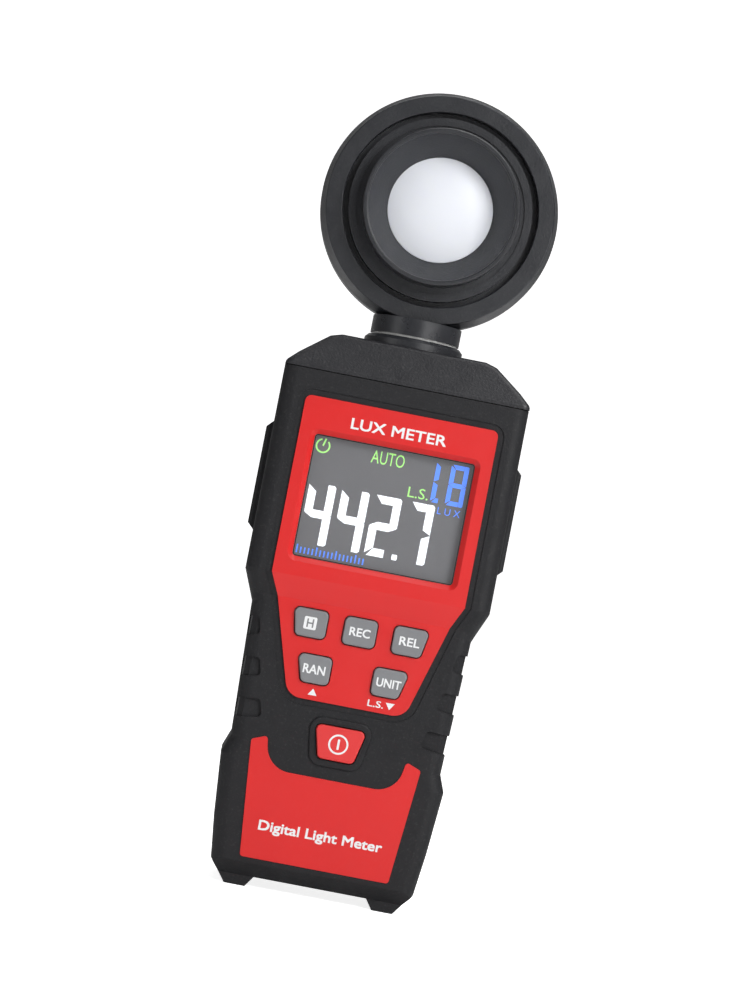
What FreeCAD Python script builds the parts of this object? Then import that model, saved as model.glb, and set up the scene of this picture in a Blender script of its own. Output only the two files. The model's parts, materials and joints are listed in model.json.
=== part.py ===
# Handheld light meter with a swivelling sensor head.
# +Z runs from the feet to the sensor, the display faces -Y, and the origin is at the bottom centre.
import FreeCAD, Part
import os
import re
import Sketcher
from FreeCAD import Rotation, Vector

SIZES = {
    # outline of the handle: its half width, distances in from that, and heights
    "foot_in": 8.9,
    "foot_wide": 4.8,
    "foot_rise": 2.4,
    "foot_slant": 1.7,
    "foot_front": 11.5,
    "toe_chamfer": 3.4,
    "corner_in": 4.9,
    "corner_height": 5.3,
    "heel_in": 3.7,
    "heel_height": 15.0,
    "flare_in": 2.5,
    "flare_height": 29.5,
    "waist_in": 4.0,
    "waist_height": 33.5,
    "grip_in": 2.9,
    "grip_top": 64.5,
    "body_half": 28.5,
    "shoulder_height": 71.6,
    "cap_line": 119.0,
    "body_top": 128.4,
    # end cap, as distances in from the handle's sides and faces
    "cap_rise": 1.0,
    "cap_corner_in": 2.7,
    "cap_corner_rise": 3.6,
    "cap_slant_in": 9.0,
    "cap_slant_drop": 0.8,
    "cap_crown_in": 11.7,
    "cap_lean": 3.9,
    "cap_lip": 0.7,
    # depth of the handle
    "front_face": 16.5,
    "keypad_step": 1.75,
    "step_low": 66.8,
    "step_high": 72.0,
    "back_face": 16.5,
    "grip_back": 14.6,
    "back_step_low": 66.2,
    "back_step_high": 70.0,
    "edge_round": 3.2,
    # walls
    "rubber": 1.6,
    "wall": 2.0,
    "seam": 0.2,
    # how far a cutter runs past what it cuts, and a short one
    "over": 5.0,
    "nick": 1.0,
    # side pads
    "pad_proud": 1.5,
    "pad_low": 80.5,
    "pad_high": 106.0,
    "pad_deep": 9.0,
    # grip notches
    "notch_top": 61.4,
    "notch_pitch": 9.25,
    "notch_tall": 4.1,
    "notch_in": 2.4,
    "notch_step": 1.9,
    "notch_depth": 0.8,
    "notch_turn": 2.05,
    "notch_slant": 1.0,
    "notch_side": 9.0,
    # raised panels of the front and back shells
    "panel_half": 22.4,
    "panel_top": 113.1,
    "panel_kink": 20.0,
    "panel_toe": 13.6,
    "toe_round": 4.0,
    "panel_low": 44.8,
    "panel_corner": 1.5,
    "panel_proud": 0.25,
    "band": 1.5,
    "band_sunk": 0.3,
    "badge_half": 19.7,
    "badge_top": 33.6,
    "badge_peak_half": 16.1,
    "badge_peak": 35.0,
    "badge_corner": 0.7,
    "badge_tongue_half": 14.9,
    "badge_tongue": 27.6,
    "tongue_round": 5.9,
    "badge_foot_half": 17.2,
    "badge_low": 7.0,
    "back_foot_half": 18.6,
    "back_low": 7.0,
    "back_panel_half": 23.4,
    "back_top": 117.8,
    # display
    "window_half": 18.6,
    "window_low": 76.5,
    "window_high": 104.7,
    "window_corner": 0.8,
    "window_sunk": 0.9,
    "window_thick": 1.4,
    "window_lip": 1.4,
    "bezel": 1.2,
    "display_gap": 0.3,
    "display_thick": 2.2,
    "light_thick": 2.4,
    # boards
    "board_front": 7.9,
    "board_thick": 1.6,
    "board_half": 19.5,
    "board_low": 26.0,
    "board_high": 112.2,
    "board_screw_half": 16.2,
    "board_screw_low": 29.0,
    "board_screw_high": 109.4,
    "post_gap": 0.4,
    "board_bite": 2.0,
    "chip_tall": 1.5,
    "main_chip_left": -6.0,
    "main_chip_right": 6.0,
    "main_chip_low": 84.0,
    "main_chip_high": 96.0,
    "driver_chip_left": -14.0,
    "driver_chip_right": -7.0,
    "driver_chip_low": 100.0,
    "driver_chip_high": 105.0,
    "power_chip_left": 8.0,
    "power_chip_right": 13.0,
    "power_chip_low": 78.0,
    "power_chip_high": 82.0,
    "clock_chip_left": 9.0,
    "clock_chip_right": 12.0,
    "clock_chip_low": 87.0,
    "clock_chip_high": 95.0,
    "connector_long": 7.2,
    "connector_gap": 0.3,
    # keys
    "key_high": 62.0,
    "key_low": 51.8,
    "key_tall": 6.4,
    "hold_inner": 7.7,
    "hold_outer": 15.7,
    "hold_slant": 1.2,
    "range_inner": 4.9,
    "range_outer": 12.9,
    "range_slant": 1.7,
    "record_half": 3.75,
    "key_proud": 0.8,
    "key_gap": 0.25,
    "key_play": 0.05,
    "key_flange": 0.9,
    "key_flange_thick": 0.8,
    "key_corner": 1.2,
    "key_soft": 0.35,
    "key_travel": 0.8,
    "power_high": 39.9,
    "power_low": 32.2,
    "power_top_half": 5.9,
    "power_low_half": 4.1,
    "power_rim": 1.8,
    "rim_proud": 0.5,
    "mat_thick": 0.8,
    "mat_half": 17.5,
    "mat_top": 66.5,
    "mat_bend": 58.0,
    "mat_foot_half": 8.0,
    "mat_low": 30.0,
    "mat_corner": 2.0,
    "pip_radius": 1.6,
    # neck
    "flange_lip": 4.0,
    "flange_top": 130.7,
    "flange_chamfer": 0.8,
    "bush_low": 118.6,
    "bush_wall": 1.75,
    "socket_rise": 1.5,
    "stem_radius": 7.6,
    "running_gap": 0.05,
    "stem_bore": 4.4,
    "washer_thick": 0.5,
    "washer_lip": 2.4,
    "collar_lip": 2.9,
    "collar_top": 135.2,
    "clip_lip": 1.2,
    "clip_thick": 1.0,
    "clip_deep": 0.8,
    "clip_play": 0.15,
    "clip_opening": 1.5,
    "stem_tip": 1.0,
    "tenon_radius": 4.9,
    "tenon_clear": 0.4,
    # sensor head, as radii about its own axis and depths from the neck's axis
    "head_height": 161.6,
    "head_radius": 27.8,
    "head_face": 5.5,
    "face_radius": 26.6,
    "bevel_deep": 4.3,
    "split": 1.0,
    "rim_back": 4.0,
    "head_back": 8.6,
    "back_radius": 24.1,
    "head_wall": 1.9,
    "groove_outer": 22.7,
    "groove_inner": 21.4,
    "groove_deep": 3.0,
    "web_thick": 1.5,
    "web_radius": 17.5,
    "cup_proud": 6.8,
    "cup_outer": 18.2,
    "cup_inner": 17.1,
    "cup_step_radius": 19.6,
    "cup_step": 0.35,
    "cup_land": 0.8,
    "well_deep": 7.4,
    "dome_radius": 12.25,
    "dome_gap": 0.1,
    "dome_rise": 2.2,
    "dome_edge": 1.2,
    "seat_gap": 0.3,
    "filter_radius": 6.0,
    "filter_thick": 1.0,
    "diode_radius": 4.6,
    "diode_thick": 2.0,
    "sensor_board_radius": 17.3,
    "sensor_board_thick": 1.2,
    "sensor_board_gap": 0.5,
    "head_screw_ring": 21.2,
    "head_post_radius": 2.5,
    "lead_radius": 1.4,
    "lead_low": 114.0,
    "lead_reach": 14.0,
    # battery bay and door
    "cell_radius": 5.2,
    "cell_long": 43.3,
    "nub_radius": 1.9,
    "nub_tall": 1.0,
    "cell_apart": 0.5,
    "cell_gap": 0.1,
    "spring_tall": 1.5,
    "plate_thick": 0.3,
    "plate_half": 3.8,
    "bay_side": 0.4,
    "bay_low": 10.6,
    "bay_clear": 0.55,
    "bay_wall": 1.4,
    "door_lap": 1.3,
    "door_side": 3.1,
    "door_low": 9.2,
    "door_high": 62.8,
    "door_thick": 2.2,
    "door_gap": 0.25,
    "door_corner": 2.0,
    "door_screw_height": 60.2,
    "door_screw_reach": 4.0,
    "slot_half": 0.3,
    "slot_deep": 0.9,
    "rib_half": 9.0,
    "rib_low": 13.0,
    "rib_pitch": 2.4,
    "rib_tall": 1.0,
    "rib_deep": 0.5,
    # fasteners
    "screw_radius": 1.25,
    "screw_head": 2.2,
    "screw_head_tall": 1.4,
    "boss_radius": 2.6,
    "case_screw_half": 19.0,
    "case_screw_high": 115.6,
    "low_screw_half": 18.5,
    "case_screw_low": 71.6,
    "case_screw_sunk": 3.0,
    "case_screw_tip": 6.0,
    "insert_radius": 1.9,
    "insert_long": 5.0,
    "insert_wall": 1.0,
    "tripod_height": 92.0,
    "tripod_bore": 2.6,
    "tripod_radius": 5.0,
    "tripod_long": 9.0,
    "tripod_deep": 7.5,
    "label_half": 14.0,
    "label_low": 100.5,
    "label_high": 112.0,
    "label_thick": 0.2,
}

doc = FreeCAD.newDocument("light_meter")
sheet = doc.addObject("Spreadsheet::Sheet", "Sizes")
for row, (alias, value) in enumerate(SIZES.items(), start=1):
    sheet.set(f"A{row}", alias)
    sheet.set(f"B{row}", str(value))
    sheet.setAlias(f"B{row}", alias)
doc.recompute()

NORMALS = {"XY_Plane": Vector(0, 0, 1), "XZ_Plane": Vector(0, -1, 0), "YZ_Plane": Vector(1, 0, 0)}
pieces = []


def cells(text):
    """Writes the sheet's name in front of each size in an expression."""
    return re.sub(r"[a-z_]+", lambda m: f"Sizes.{m.group()}" if m.group() in SIZES else m.group(), text)


def bind(item, prop, text):
    item.setExpression(prop, cells(text))


def keep(item, label):
    item.Label = label
    pieces.append(item)
    return item


# ---- PartDesign helpers: outlines are lists of (across, up) or (across, up, corner radius) ----

def new_body(name):
    return doc.addObject("PartDesign::Body", name)


def draw(body, role, points, level="0"):
    """A closed polygon on one of the body's planes, each corner bound to the sheet."""
    sketch = body.newObject("Sketcher::SketchObject", "Outline")
    plane = next(item for item in body.Origin.OriginFeatures if item.Role == role)
    sketch.AttachmentSupport = [(plane, "")]
    sketch.MapMode = "FlatFace"
    bind(sketch, "AttachmentOffset.Base.z", level)
    count = len(points)
    start = [Vector(20, 0, 0)]
    for _ in range(count - 1):
        start.append(Rotation(Vector(0, 0, 1), 360 / count).multVec(start[-1]))
    for index in range(count):
        sketch.addGeometry(Part.LineSegment(start[index], start[(index + 1) % count]), False)
    for index in range(count):
        sketch.addConstraint(Sketcher.Constraint("Coincident", index, 2, (index + 1) % count, 1))
    for index, point in enumerate(points):
        for kind, place, text in (("DistanceX", start[index].x, point[0]), ("DistanceY", start[index].y, point[1])):
            number = sketch.addConstraint(Sketcher.Constraint(kind, -1, 1, index, 1, place))
            bind(sketch, f"Constraints[{number}]", text)
    return sketch


def corner_edges(sketch, points, shape, normal):
    """Groups the edges that rise from the sketch's rounded corners by their radius."""
    groups = {}
    for line, point in zip(sketch.Geometry, points):
        if len(point) < 3:
            continue
        corner = sketch.Placement.multVec(line.StartPoint)
        for number, edge in enumerate(shape.Edges, start=1):
            if not isinstance(edge.Curve, Part.Line) or abs(edge.Curve.Direction.dot(normal)) < 0.9999:
                continue
            if corner.distanceToLine(edge.Vertexes[0].Point, normal) < 1e-4:
                groups.setdefault(point[2], set()).add(f"Edge{number}")
    return groups


def soften_named(body, names, size, kind="PartDesign::Fillet"):
    """Rounds or chamfers the named edges of what the body holds so far."""
    base = body.Tip
    change = body.newObject(kind, kind.split("::")[1])
    change.Base = (base, sorted(names))
    bind(change, "Radius" if kind.endswith("Fillet") else "Size", size)
    doc.recompute()
    if change.Shape.isNull() or "Invalid" in change.State:
        raise ValueError(f"{body.Name}: {kind} of {size} failed")


def soften(body, size, wanted, kind="PartDesign::Fillet"):
    """Rounds or chamfers the edges that the test picks."""
    names = [f"Edge{number}" for number, edge in enumerate(body.Shape.Edges, start=1) if wanted(edge)]
    if not names:
        raise ValueError(f"{body.Name}: no edge to soften")
    soften_named(body, names, size, kind)


def extrude(body, kind, role, points, low, high):
    """Pads or pockets an outline between two levels along its plane's world axis."""
    flipped = role == "XZ_Plane"
    sketch = draw(body, role, points, f"-({high})" if flipped else low)
    before = body.Shape.Volume if body.Tip else 0
    feature = body.newObject(kind, kind.split("::")[1])
    feature.Profile = sketch
    feature.Reversed = kind == "PartDesign::Pocket"
    bind(feature, "Length", f"({high}) - ({low})")
    doc.recompute()
    after = feature.Shape.Volume
    if abs(after - before) < 1e-6:
        raise ValueError(f"{body.Name}: a {kind} changed nothing")
    groups = corner_edges(sketch, points, feature.Shape, NORMALS[role])
    for radius in sorted(groups):
        names = corner_edges(sketch, points, body.Tip.Shape, NORMALS[role])[radius]
        soften_named(body, names, radius)
    return feature


def pad(body, role, points, low, high):
    return extrude(body, "PartDesign::Pad", role, points, low, high)


def pocket(body, role, points, low, high):
    return extrude(body, "PartDesign::Pocket", role, points, low, high)


def turned(name, points, kind="PartDesign::Revolution", body=None):
    """Revolves (radius, height) points about the neck's axis, +Z."""
    return revolve(body or new_body(name), kind, "XZ_Plane", points, "V_Axis")


def turned_head(name, points, kind="PartDesign::Revolution", body=None):
    """Revolves (depth, radius) points about the sensor's axis, which lies along Y."""
    return revolve(body or new_body(name), kind, "YZ_Plane", points, "H_Axis", "head_height")


def revolve(body, kind, role, points, axis, lift="0"):
    sketch = draw(body, role, points)
    bind(sketch, "AttachmentOffset.Base.y", lift)
    feature = body.newObject(kind, kind.split("::")[1])
    feature.Profile = sketch
    feature.ReferenceAxis = (sketch, [axis])
    doc.recompute()
    return body


def mirrored(points):
    """Adds the left half to an outline's right half, which runs from the bottom to the top."""
    left = [(f"-({point[0]})", *point[1:]) for point in reversed(points)]
    return points + left


# ---- Part helpers ----

def box(name, x_range, y_range, z_range):
    item = doc.addObject("Part::Box", name)
    for axis, size, (low, high) in zip("xyz", ("Length", "Width", "Height"), (x_range, y_range, z_range)):
        bind(item, size, f"({high}) - ({low})")
        bind(item, f"Placement.Base.{axis}", low)
    return item


TURNS = {"x": Rotation(Vector(0, 1, 0), 90), "y": Rotation(Vector(1, 0, 0), -90), "z": Rotation()}


def cylinder(name, axis, centre, radius, length):
    """A cylinder that starts at its centre point and runs along +X, +Y or +Z."""
    item = doc.addObject("Part::Cylinder", name)
    item.Placement.Rotation = TURNS[axis]
    for letter, text in zip("xyz", centre):
        bind(item, f"Placement.Base.{letter}", text)
    bind(item, "Radius", radius)
    bind(item, "Height", length)
    return item


def cut(name, base, tools):
    item = doc.addObject("Part::Cut", name)
    item.Base = base
    item.Tool = tools[0] if len(tools) == 1 else fuse(f"{name}Tools", tools)
    return item


def fuse(name, items):
    item = doc.addObject("Part::MultiFuse", name)
    item.Shapes = items
    return item


def common(name, items):
    item = doc.addObject("Part::MultiCommon", name)
    item.Shapes = items
    return item


def group(name, items):
    """Identical loose pieces that share one file."""
    item = doc.addObject("Part::Compound", name)
    item.Links = items
    return item


# ---- blocks and outlines that several sub-parts share ----

FRONT = "-(front_face + over)"
BACK = "back_face + over"
HALF_SPAN = "body_half + over"
WAIST_HALF = "(body_half - waist_in)"
GRIP_HALF = "(body_half - grip_in)"
FOOT_INNER = "(body_half - foot_in - foot_wide)"
KEYPAD = "(front_face - keypad_step)"
BUSH_BORE = "(stem_radius + running_gap)"
BUSH_RADIUS = f"({BUSH_BORE} + bush_wall)"
BAY_HIGH = "(bay_low + 2 * plate_thick + spring_tall + cell_long + nub_tall)"
DOOR_FACE = "(grip_back + panel_proud)"
DOOR_SEAT = f"({DOOR_FACE} - door_thick)"
CELL_PITCH = "(2 * cell_radius + cell_apart)"
CELL_CENTRE = f"({DOOR_SEAT} - bay_clear - cell_radius)"
BAY_FRONT = f"({CELL_CENTRE} - cell_radius - cell_gap)"
BAY_HALF = f"({CELL_PITCH} + cell_radius + bay_side)"
DOOR_HALF = f"({BAY_HALF} + door_lap)"
INNER_KEYPAD = f"({KEYPAD} - rubber - wall)"


def handle_block(name, inset, bottom):
    """The handle's envelope drawn in by an inset: outline, stepped front, stepped back, slanted toes."""
    body = new_body(name)
    outline = [
        (f"body_half - foot_in - ({inset})", bottom),
        (f"body_half - corner_in - ({inset})", f"corner_height + ({inset}) / 2"),
        (f"body_half - heel_in - ({inset})", "heel_height"),
        (f"body_half - flare_in - ({inset})", "flare_height"),
        (f"{WAIST_HALF} - ({inset})", "waist_height"),
        (f"{GRIP_HALF} - ({inset})", "grip_top"),
        (f"body_half - ({inset})", "shoulder_height"),
        (f"body_half - ({inset})", "cap_line"),
    ]
    front = f"front_face - ({inset})"
    back = f"back_face - ({inset})"
    pad(body, "XZ_Plane", mirrored(outline), f"-({front})", back)
    toe = f"foot_front - ({inset})"
    toe_height = f"foot_rise + ({inset})"
    keypad = f"{KEYPAD} - ({inset})"
    front_cut = [
        (FRONT, "-over"), (f"-({toe})", "-over"), (f"-({toe})", toe_height),
        (f"-({keypad})", f"{toe_height} + toe_chamfer"), (f"-({keypad})", "step_low"),
        (f"-({front})", "step_high"), (FRONT, "step_high"),
    ]
    pocket(body, "YZ_Plane", front_cut, f"-({HALF_SPAN})", HALF_SPAN)
    grip = f"grip_back - ({inset})"
    back_cut = [
        (BACK, "-over"), (toe, "-over"), (toe, toe_height), (grip, f"{toe_height} + toe_chamfer"),
        (grip, "back_step_low"), (back, "back_step_high"), (BACK, "back_step_high"),
    ]
    pocket(body, "YZ_Plane", back_cut, f"-({HALF_SPAN})", HALF_SPAN)
    return body


def prism(name, points, low, high):
    """An outline seen from the front, extruded between two depths."""
    body = new_body(name)
    pad(body, "XZ_Plane", points, low, high)
    return body


def middle(edge):
    return edge.valueAt((edge.FirstParameter + edge.LastParameter) / 2)


def heading(edge):
    return edge.tangentAt((edge.FirstParameter + edge.LastParameter) / 2)


def value(text):
    """What an expression over the sheet comes to, for picking edges."""
    return float(sheet.evalExpression(cells(text)))


def runs_round(edge):
    """Edges of the front and back faces that run up the handle's sides, above its toes."""
    above = middle(edge).z > value("corner_height + toe_chamfer")
    return above and abs(heading(edge).y) < 0.6 and abs(middle(edge).x) > value(FOOT_INNER)


def panel_outline(grow):
    """The upper panel, which carries the display and five keys."""
    return mirrored([
        (f"panel_toe + ({grow})", f"panel_low - ({grow})", f"toe_round + ({grow})"),
        (f"panel_kink + ({grow})", "step_low"),
        (f"panel_half + ({grow})", "step_high"),
        (f"panel_half + ({grow})", f"panel_top + ({grow})", f"panel_corner + ({grow})"),
    ])


def badge_outline():
    """The lower panel, whose top edge dips round the power key's tongue."""
    return mirrored([
        ("badge_foot_half", "badge_low", "badge_corner"), ("badge_half", "badge_top", "badge_corner"),
        ("badge_peak_half", "badge_peak", "badge_corner"),
        ("badge_tongue_half", "badge_tongue", "tongue_round"),
    ])


def back_outline():
    return mirrored([
        ("back_foot_half", "back_low", "panel_corner"), (f"{DOOR_HALF} + door_side", "waist_height"),
        (f"{DOOR_HALF} + door_side", "back_step_low"), ("back_panel_half", "back_step_high"),
        ("back_panel_half", "back_top", "panel_corner"),
    ])


def rectangle(half, low, high, corner):
    return [(f"-({half})", low, corner), (half, low, corner), (half, high, corner), (f"-({half})", high, corner)]


def key_outline(sign, inner, outer, slant, height, grow):
    """A four-sided key, slanted on its outer edge, on the left (-1) or right (1)."""
    low = f"{height} - key_tall / 2 - ({grow})"
    high = f"{height} + key_tall / 2 + ({grow})"
    across = [(f"{inner} - ({grow})", low), (f"{outer} - {slant} + ({grow})", low),
              (f"{outer} + ({grow})", high), (f"{inner} - ({grow})", high)]
    return [(f"{sign} * ({x})", z, f"key_corner + ({grow})") for x, z in across]


def power_outline(grow):
    corner = f"key_corner + ({grow})"
    low = f"power_low - ({grow})"
    high = f"power_high + ({grow})"
    return [
        (f"-(power_low_half + ({grow}))", low, corner), (f"power_low_half + ({grow})", low, corner),
        (f"power_top_half + ({grow})", high, corner), (f"-(power_top_half + ({grow}))", high, corner),
    ]


KEYS = {
    "key_hold": lambda grow: key_outline(-1, "hold_inner", "hold_outer", "hold_slant", "key_high", grow),
    "key_record": lambda grow: key_outline(1, "-record_half", "record_half", "0", "key_high", grow),
    "key_relative": lambda grow: key_outline(1, "hold_inner", "hold_outer", "hold_slant", "key_high", grow),
    "key_range": lambda grow: key_outline(-1, "range_inner", "range_outer", "range_slant", "key_low", grow),
    "key_unit": lambda grow: key_outline(1, "range_inner", "range_outer", "range_slant", "key_low", grow),
    "key_power": power_outline,
}

SCREW_PLACES = [
    ("-case_screw_half", "case_screw_high"), ("case_screw_half", "case_screw_high"),
    ("-low_screw_half", "case_screw_low"), ("low_screw_half", "case_screw_low"),
]
BOARD_SCREW_PLACES = [
    (sign + "board_screw_half", height) for height in ("board_screw_low", "board_screw_high") for sign in ("-", "")
]
HEAD_SCREW_TURNS = (90, 210, 330)


# ---- handle ----

def notch_cutter():
    """Three finger notches on each side, each a slanted outline cut down to a floor in the rubber."""
    cutters = []
    slope = "(waist_in - grip_in) / (grip_top - waist_height)"
    for index in range(3):
        top = f"(notch_top - {index} * notch_pitch)"
        inner = f"({GRIP_HALF} - notch_in - {index} * notch_step)"
        side = f"({WAIST_HALF} + {slope} * ({top} - waist_height))"
        quad = prism(f"NotchOutline{index}", [
            (f"{inner} - notch_slant", f"{top} - notch_tall", "notch_slant"),
            (HALF_SPAN, f"{top} - notch_tall - 2 * notch_slant"),
            (HALF_SPAN, f"{top} - notch_slant"),
            (inner, top, "notch_slant"),
        ], FRONT, "0")
        floor = new_body(f"NotchFloor{index}")
        pad(floor, "XY_Plane", [
            (f"{inner} - 2 * notch_slant", f"-({KEYPAD} - notch_depth)"),
            (f"{side} - notch_turn", f"-({KEYPAD} - notch_depth)"),
            (f"{side} - notch_depth", f"-({KEYPAD} - notch_turn)"),
            (f"{side} - notch_depth / 2", f"-({KEYPAD} - notch_side)"),
            (HALF_SPAN, f"-({KEYPAD} - notch_side)"),
            (HALF_SPAN, FRONT),
            (f"{inner} - 2 * notch_slant", FRONT),
        ], f"{top} - 2 * notch_tall", f"{top} + notch_tall")
        cutters.append(common(f"Notch{index}", [quad, floor]))
    right = fuse("NotchesRight", cutters)
    left = doc.addObject("Part::Mirroring", "NotchesLeft")
    left.Source = right
    left.Normal = Vector(1, 0, 0)
    return fuse("Notches", [right, left])


def make_shared_blocks():
    outer = handle_block("Handle", "0", "0")
    soften(outer, "edge_round", runs_round)
    pads = []
    for name, sign in (("PadLeft", "-"), ("PadRight", "")):
        side = [
            (f"{sign}(body_half - nick)", "pad_low"), (f"{sign}body_half", "pad_low"),
            (f"{sign}(body_half + pad_proud)", "pad_low + pad_proud"),
            (f"{sign}(body_half + pad_proud)", "pad_high - pad_proud"),
            (f"{sign}body_half", "pad_high"), (f"{sign}(body_half - nick)", "pad_high"),
        ]
        grip = prism(name, side, "-pad_deep", "pad_deep")
        face = value("body_half + pad_proud")
        soften(grip, "pad_proud * 0.6", lambda e: abs(abs(middle(e).x) - face) < 0.01 and abs(heading(e).y) < 0.5)
        pads.append(grip)
    arch = prism("Arch", mirrored([(FOOT_INNER, "-nick"), (FOOT_INNER, "0"),
                                   (f"{FOOT_INNER} - foot_slant", "foot_rise")]), FRONT, BACK)
    padded = fuse("PaddedHandle", [outer, *pads])
    core = handle_block("Core", "rubber", "foot_rise + rubber")
    hollow = handle_block("Hollow", "rubber + wall", "foot_rise + rubber + wall")
    front_half = box("FrontHalf", (f"-({HALF_SPAN})", HALF_SPAN), (FRONT, "0"), ("-over", "body_top + over"))
    back_half = box("BackHalf", (f"-({HALF_SPAN})", HALF_SPAN), ("0", BACK), ("-over", "body_top + over"))
    return {
        "sleeve": cut("Sleeve", padded, [core, arch]),
        "core": core,
        "hollow": hollow,
        "front_half": front_half,
        "back_half": back_half,
        "proud": handle_block("Proud", "-panel_proud", "0"),
        "panel": prism("PanelPrism", panel_outline("0"), FRONT, "0"),
        "badge": prism("BadgePrism", badge_outline(), FRONT, "0"),
        "back_panel": prism("BackPrism", back_outline(), "0", BACK),
    }


def key_openings(names):
    return [prism(f"Opening_{name}", KEYS[name]("key_gap"), FRONT, "0") for name in names]


def make_front_shell(shared):
    raised = [common(f"Raised_{name}", [shared[name], shared["proud"], shared["front_half"]])
              for name in ("panel", "badge")]
    solid = fuse("FrontSolid", [common("FrontCore", [shared["core"], shared["front_half"]]), *raised])
    skin = cut("FrontSkin", solid, [shared["hollow"]])
    seat = prism("WindowSeat", rectangle("window_half + window_lip", "window_low - window_lip",
                                         "window_high + window_lip", "window_corner"),
                 "-(front_face - window_sunk)", "0")
    opening = prism("WindowOpening", rectangle("window_half", "window_low", "window_high", "window_corner"),
                    FRONT, "0")
    bevel = prism("WindowBevel", rectangle("window_half + bezel", "window_low - bezel", "window_high + bezel",
                                           "window_corner + bezel"), FRONT, "-(front_face - window_sunk)")
    level = value("-(front_face - window_sunk)")
    soften(bevel, "bezel - 0.05", lambda e: abs(middle(e).y - level) < 0.01, "PartDesign::Chamfer")
    opened = cut("FrontOpened", skin, [seat, opening, bevel, *key_openings(KEYS)])
    posts = []
    drills = []
    for index, (across, up) in enumerate(SCREW_PLACES):
        depth = f"-({INNER_KEYPAD} + wall / 2)" if "low" in up else "-(front_face - rubber - wall / 2)"
        posts.append(cylinder(f"FrontPost{index}", "y", (across, depth, up), "boss_radius", f"-({depth})"))
        drills.append(cylinder(f"FrontDrill{index}", "y", (across, "-case_screw_tip", up), "screw_radius",
                               "case_screw_tip + nick"))
    for index, (across, up) in enumerate(BOARD_SCREW_PLACES):
        depth = f"-({INNER_KEYPAD} + wall / 2)" if "low" in up else "-(front_face - rubber - wall / 2)"
        posts.append(cylinder(f"BoardPost{index}", "y", (across, depth, up), "boss_radius",
                              f"-({depth}) - board_front"))
        drills.append(cylinder(f"BoardDrill{index}", "y", (across, "-board_front - board_bite", up), "screw_radius",
                               "board_bite + nick"))
    keep(cut("FrontShell", fuse("FrontPosted", [opened, *posts]), drills), "front_shell")


def make_front_overmold(shared):
    sleeve = common("FrontSleeve", [shared["sleeve"], shared["front_half"]])
    band = cut("BandCutter", prism("BandPrism", panel_outline("band"), FRONT, "0"),
               [handle_block("BandFloor", "band_sunk", "0")])
    rim = prism("PowerRim", power_outline("power_rim"), f"-({KEYPAD} + rim_proud)", f"-({KEYPAD} - rubber)")
    face = value(f"-({KEYPAD} + rim_proud)")
    soften(rim, "rim_proud * 0.8", lambda e: abs(middle(e).y - face) < 0.01)
    rimmed = fuse("RimmedSleeve", [cut("NotchedSleeve", sleeve, [notch_cutter(), band]), rim])
    keep(cut("FrontOvermold", rimmed, [shared["panel"], shared["badge"], *key_openings(["key_power"])]),
         "front_overmold")


def bay_solid(name, grow, front, back):
    """The battery bay as a box, grown by its wall for the outside."""
    return box(name, (f"-({BAY_HALF} + {grow})", f"{BAY_HALF} + {grow}"), (front, back),
               (f"bay_low - {grow}", f"{BAY_HIGH} + {grow}"))


def door_outline(grow):
    return rectangle(f"{DOOR_HALF} + ({grow})", f"door_low - ({grow})", f"door_high + ({grow})",
                     f"door_corner + ({grow})")


def make_rear_shell(shared):
    raised = common("RaisedBack", [shared["back_panel"], shared["proud"], shared["back_half"]])
    solid = fuse("BackSolid", [common("BackCore", [shared["core"], shared["back_half"]]), raised])
    skin = cut("BackSkin", solid, [shared["hollow"]])
    room = fuse("BayRoom", [shared["hollow"], shared["back_half"]])
    added = [common("BayFitted", [
        room, bay_solid("BayTub", "bay_wall", f"{BAY_FRONT} - bay_wall", "grip_back - rubber - wall / 2")])]
    removed = [bay_solid("BayHollow", "0", BAY_FRONT, BACK),
               prism("DoorRecess", door_outline("door_gap"), DOOR_SEAT, BACK)]
    head_seat = "back_face - case_screw_sunk"
    for index, (across, up) in enumerate(SCREW_PLACES):
        added.append(cylinder(f"BackPost{index}", "y", (across, "0", up), "boss_radius",
                              "back_face - rubber - wall / 2"))
        removed.append(cylinder(f"BackDrill{index}", "y", (across, "-nick", up), "screw_radius + post_gap / 2",
                                "back_face"))
        removed.append(cylinder(f"BackSink{index}", "y", (across, head_seat, up), "screw_head + post_gap / 2",
                                "case_screw_sunk + over"))
    added.append(cylinder("InsertPost", "y", ("0", f"{DOOR_SEAT} - insert_long - insert_wall", "door_screw_height"),
                          "insert_radius + insert_wall", "insert_long + insert_wall / 2"))
    removed.append(cylinder("InsertDrill", "y", ("0", f"{DOOR_SEAT} - insert_long", "door_screw_height"),
                            "insert_radius", "insert_long + over"))
    back_level = "back_face + panel_proud"
    added.append(cylinder("TripodPost", "y", ("0", f"{back_level} - tripod_long - wall", "tripod_height"),
                          "tripod_radius + wall", "tripod_long"))
    removed.append(cylinder("TripodDrill", "y", ("0", f"{back_level} - tripod_long", "tripod_height"),
                            "tripod_radius", "tripod_long + over"))
    removed.append(box("LabelRecess", ("-label_half", "label_half"),
                       (f"{back_level} - label_thick", BACK), ("label_low", "label_high")))
    keep(cut("RearShell", fuse("BackPosted", [skin, *added]), removed), "rear_shell")


def make_rear_overmold(shared):
    sinks = [cylinder(f"RubberSink{index}", "y", (across, "0", up), "screw_head + post_gap / 2", BACK)
             for index, (across, up) in enumerate(SCREW_PLACES)]
    sleeve = common("RearSleeve", [shared["sleeve"], shared["back_half"]])
    keep(cut("RearOvermold", sleeve, [shared["back_panel"], *sinks]), "rear_overmold")


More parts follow.
